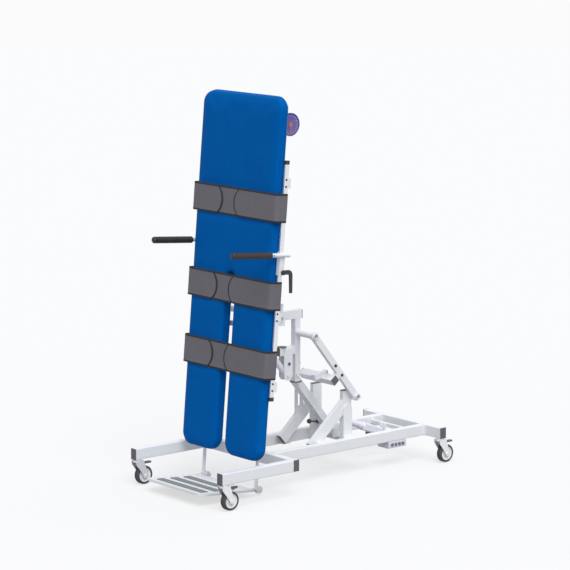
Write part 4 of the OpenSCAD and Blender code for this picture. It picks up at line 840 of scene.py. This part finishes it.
for side, label, root in ((1, "near", -30 * mm), (-1, "far", 9 * mm)):
    dress(["handle_" + label], powder_coat)
    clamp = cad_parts["handle_" + label]
    clamp.data.materials.append(black_screw)
    for face in clamp.data.polygons:
        spot = clamp.matrix_world @ face.center
        beside = abs(spot.x) > lever_face_x and (np.array(spot) - foot) @ up_table < lever_head_l
        face.material_index = 1 if beside else 0
    grip = turned(on_table(side * grip_x, root, grip_l), -behind, grip_rows, 48)
    piece("grip_sleeve_" + label, grip, grip_pvc, "handle_" + label, ("handle_grip_" + label,),
          flat_below=60)
    pin = screw(on_table(side * screw_face_x, root + 14 * mm, grip_l), (side, 0, 0), 6 * mm, 2.4 * mm,
                3.4 * mm)
    piece("handle_screw_" + label, pin, black_screw, "handle_" + label)


# Clamp levers: a black moulded handle, bent once, on the clamp's screw.
# The same glossy black as the release lever's knob.
def swept(path, widths, thick, radius):
    """A bar that follows points in the plane across x: at each point a section with round corners, square
    to the path, as wide as widths says in the plane and as thick as thick along x."""
    along = np.gradient(path, axis=0)
    along /= np.linalg.norm(along, axis=1)[:, None]
    flat = np.array([1.0, 0, 0])
    rings = []
    for point, way, width in zip(path, along, widths):
        outline = section(width, thick, radius)
        rings.append(point + outline[:, :1] * np.cross(flat, way) + outline[:, 1:] * flat)
    return skin(np.array(rings))


lever_x = 359.3 * mm
boss_x = 353.4 * mm
lever_turn = np.radians(np.linspace(90, 0, 10))
lever_d = np.concatenate([[50, 62, 76], 90 + 18 * np.cos(lever_turn), [110, 112.5, 115, 115.5, 115.5]]) * mm
lever_l = np.concatenate([[1000, 1001, 1002], 984 + 18 * np.sin(lever_turn),
                          [962, 935, 908, 895, 893]]) * mm
lever_wide = np.interp(np.linspace(0, 1, len(lever_d)), [0, 0.25, 0.7, 0.95, 1], [23, 26, 22, 18, 14]) * mm
for side, label in both_sides:
    arm = swept(on_table(side * lever_x, lever_d, lever_l), lever_wide, 11.6 * mm, 4.5 * mm)
    boss = turned(on_table(side * boss_x, 58 * mm, 1000 * mm), (side, 0, 0),
                  [(0, 12 * mm), (9.5 * mm, 12 * mm), (11.8 * mm, 10 * mm), (11.9 * mm, 8.2 * mm)], 40)
    piece("lever_handle_" + label, together([arm, boss]), phenolic, "clamp_lever_" + label,
          ("clamp_lever_" + label,))


# Angle dial: a violet acrylic disc with a raised rim, both with painted shade that darkens them above, and
# printed marks every ten degrees.
# Its brick red needle hangs plumb.
def shaded_dial_plastic(name, low, high, centre_z, reach):
    """Violet below and indigo above: painted shade, the colour darkening with the height on the dial."""
    material = bpy.data.materials.new(name)
    tree = bare_tree(material)
    place = add(tree, "ShaderNodeTexCoord").outputs["Object"]
    height = add(tree, "ShaderNodeSeparateXYZ", Vector=place)
    # Painted shade: this mix turns the colour darker towards the top of the dial.
    share = add(tree, "ShaderNodeMapRange", {"interpolation_type": "SMOOTHSTEP"}, Value=height.outputs["Z"],
                _1=centre_z + reach * 0.25, _2=centre_z + reach * 0.75)
    colour = add(tree, "ShaderNodeMix", {"data_type": "RGBA"}, _0=share.outputs[0], _6=linear(low),
                 _7=linear(high))
    cloud = add(tree, "ShaderNodeTexNoise", Vector=place, Scale=1 / (14 * mm), Detail=4)
    gloss = add(tree, "ShaderNodeMapRange", Value=cloud.outputs["Fac"], _3=0.22, _4=0.34)
    shader = add(tree, "ShaderNodeBsdfPrincipled", Base_Color=colour.outputs[2], Roughness=gloss.outputs[0],
                 IOR=1.49, Specular_IOR_Level=0.35)
    add(tree, "ShaderNodeOutputMaterial", Surface=shader.outputs[0])
    return material


dial_x = 233 * mm
dial_d = 133 * mm
dial_l = 1756 * mm
dial_r = 60 * mm
dial_face = 15 * mm
dial_centre = on_table(dial_x, dial_d, dial_l)
# Both dial materials carry painted shade that darkens them towards the top.
acrylic = shaded_dial_plastic("cast_acrylic_violet_painted_shade_above", "#6F64A4", "#5546A0", dial_centre[2], dial_r)
rim_acrylic = shaded_dial_plastic("cast_acrylic_indigo_painted_shade_above", "#544A85", "#3A2D8A", dial_centre[2], dial_r)
disc = [(0, dial_r - 2 * mm), (2 * mm, dial_r - 0.3 * mm), (11 * mm, dial_r - 0.3 * mm),
        (dial_face, dial_r - 4 * mm), (dial_face, 14 * mm), (dial_face - 1 * mm, 13 * mm),
        (dial_face - 1 * mm, 3 * mm)]
rim = [(10 * mm, dial_r - 5 * mm), (17 * mm, dial_r - 5 * mm), (18 * mm, dial_r - 4 * mm),
       (18 * mm, dial_r - 1.2 * mm), (16.8 * mm, dial_r), (10 * mm, dial_r)]
piece("dial_disc", turned(dial_centre, (1, 0, 0), disc, 96), acrylic, "table", ("dial_case",))
piece("dial_rim", turned(dial_centre, (1, 0, 0), rim, 96, ring=True), rim_acrylic, "table", ("dial_case",))
dial_print = finish("printed_ink_pale", "#D9D4EC", "#E4E0F2", 10, (0.4, 0.5))
marks = []
face_centre = dial_centre + (dial_face, 0, 0)
mark_outer = 51 * mm
for k in range(36):
    angle = math.radians(10 * k)
    way = math.sin(angle) * behind + math.cos(angle) * up_table
    mark_inner = (38 if k % 3 == 0 else 44) * mm
    marks.append(bar(face_centre + way * mark_inner, face_centre + way * mark_outer, 1.2 * mm, 0.8 * mm,
                     up=(1, 0, 0), radius=0.2 * mm))
piece("dial_marks", together(marks), dial_print, "table")
needle_paint = finish("moulded_abs_brick", "#BC756A", "#C57E73", 10, (0.35, 0.45), edge=0.6 * mm)
dress(["dial_needle"], needle_paint)


# Footplate: a white painted plate on two sliding posts, with three strips of grey gritty tape across it.
# The grit of the tape is coarse enough to show, and the paint on the plate is satin.
strip_grit = finish("anti_slip_tape_grey", "#7C807F", "#8C908E", 5, (0.8, 0.92), grain_mm=1.6,
                    grain_depth=0.5 * mm)
plate_paint = finish("painted_steel_white", "#E6E7E9", "#EDEEF0", 60, (0.4, 0.5), grain_mm=4,
                     grain_depth=0.06 * mm, edge=1.5 * mm)
dress(["foot_posts"], powder_coat)
dress(["footplate"], plate_paint)
dress(["grip_strips"], strip_grit)
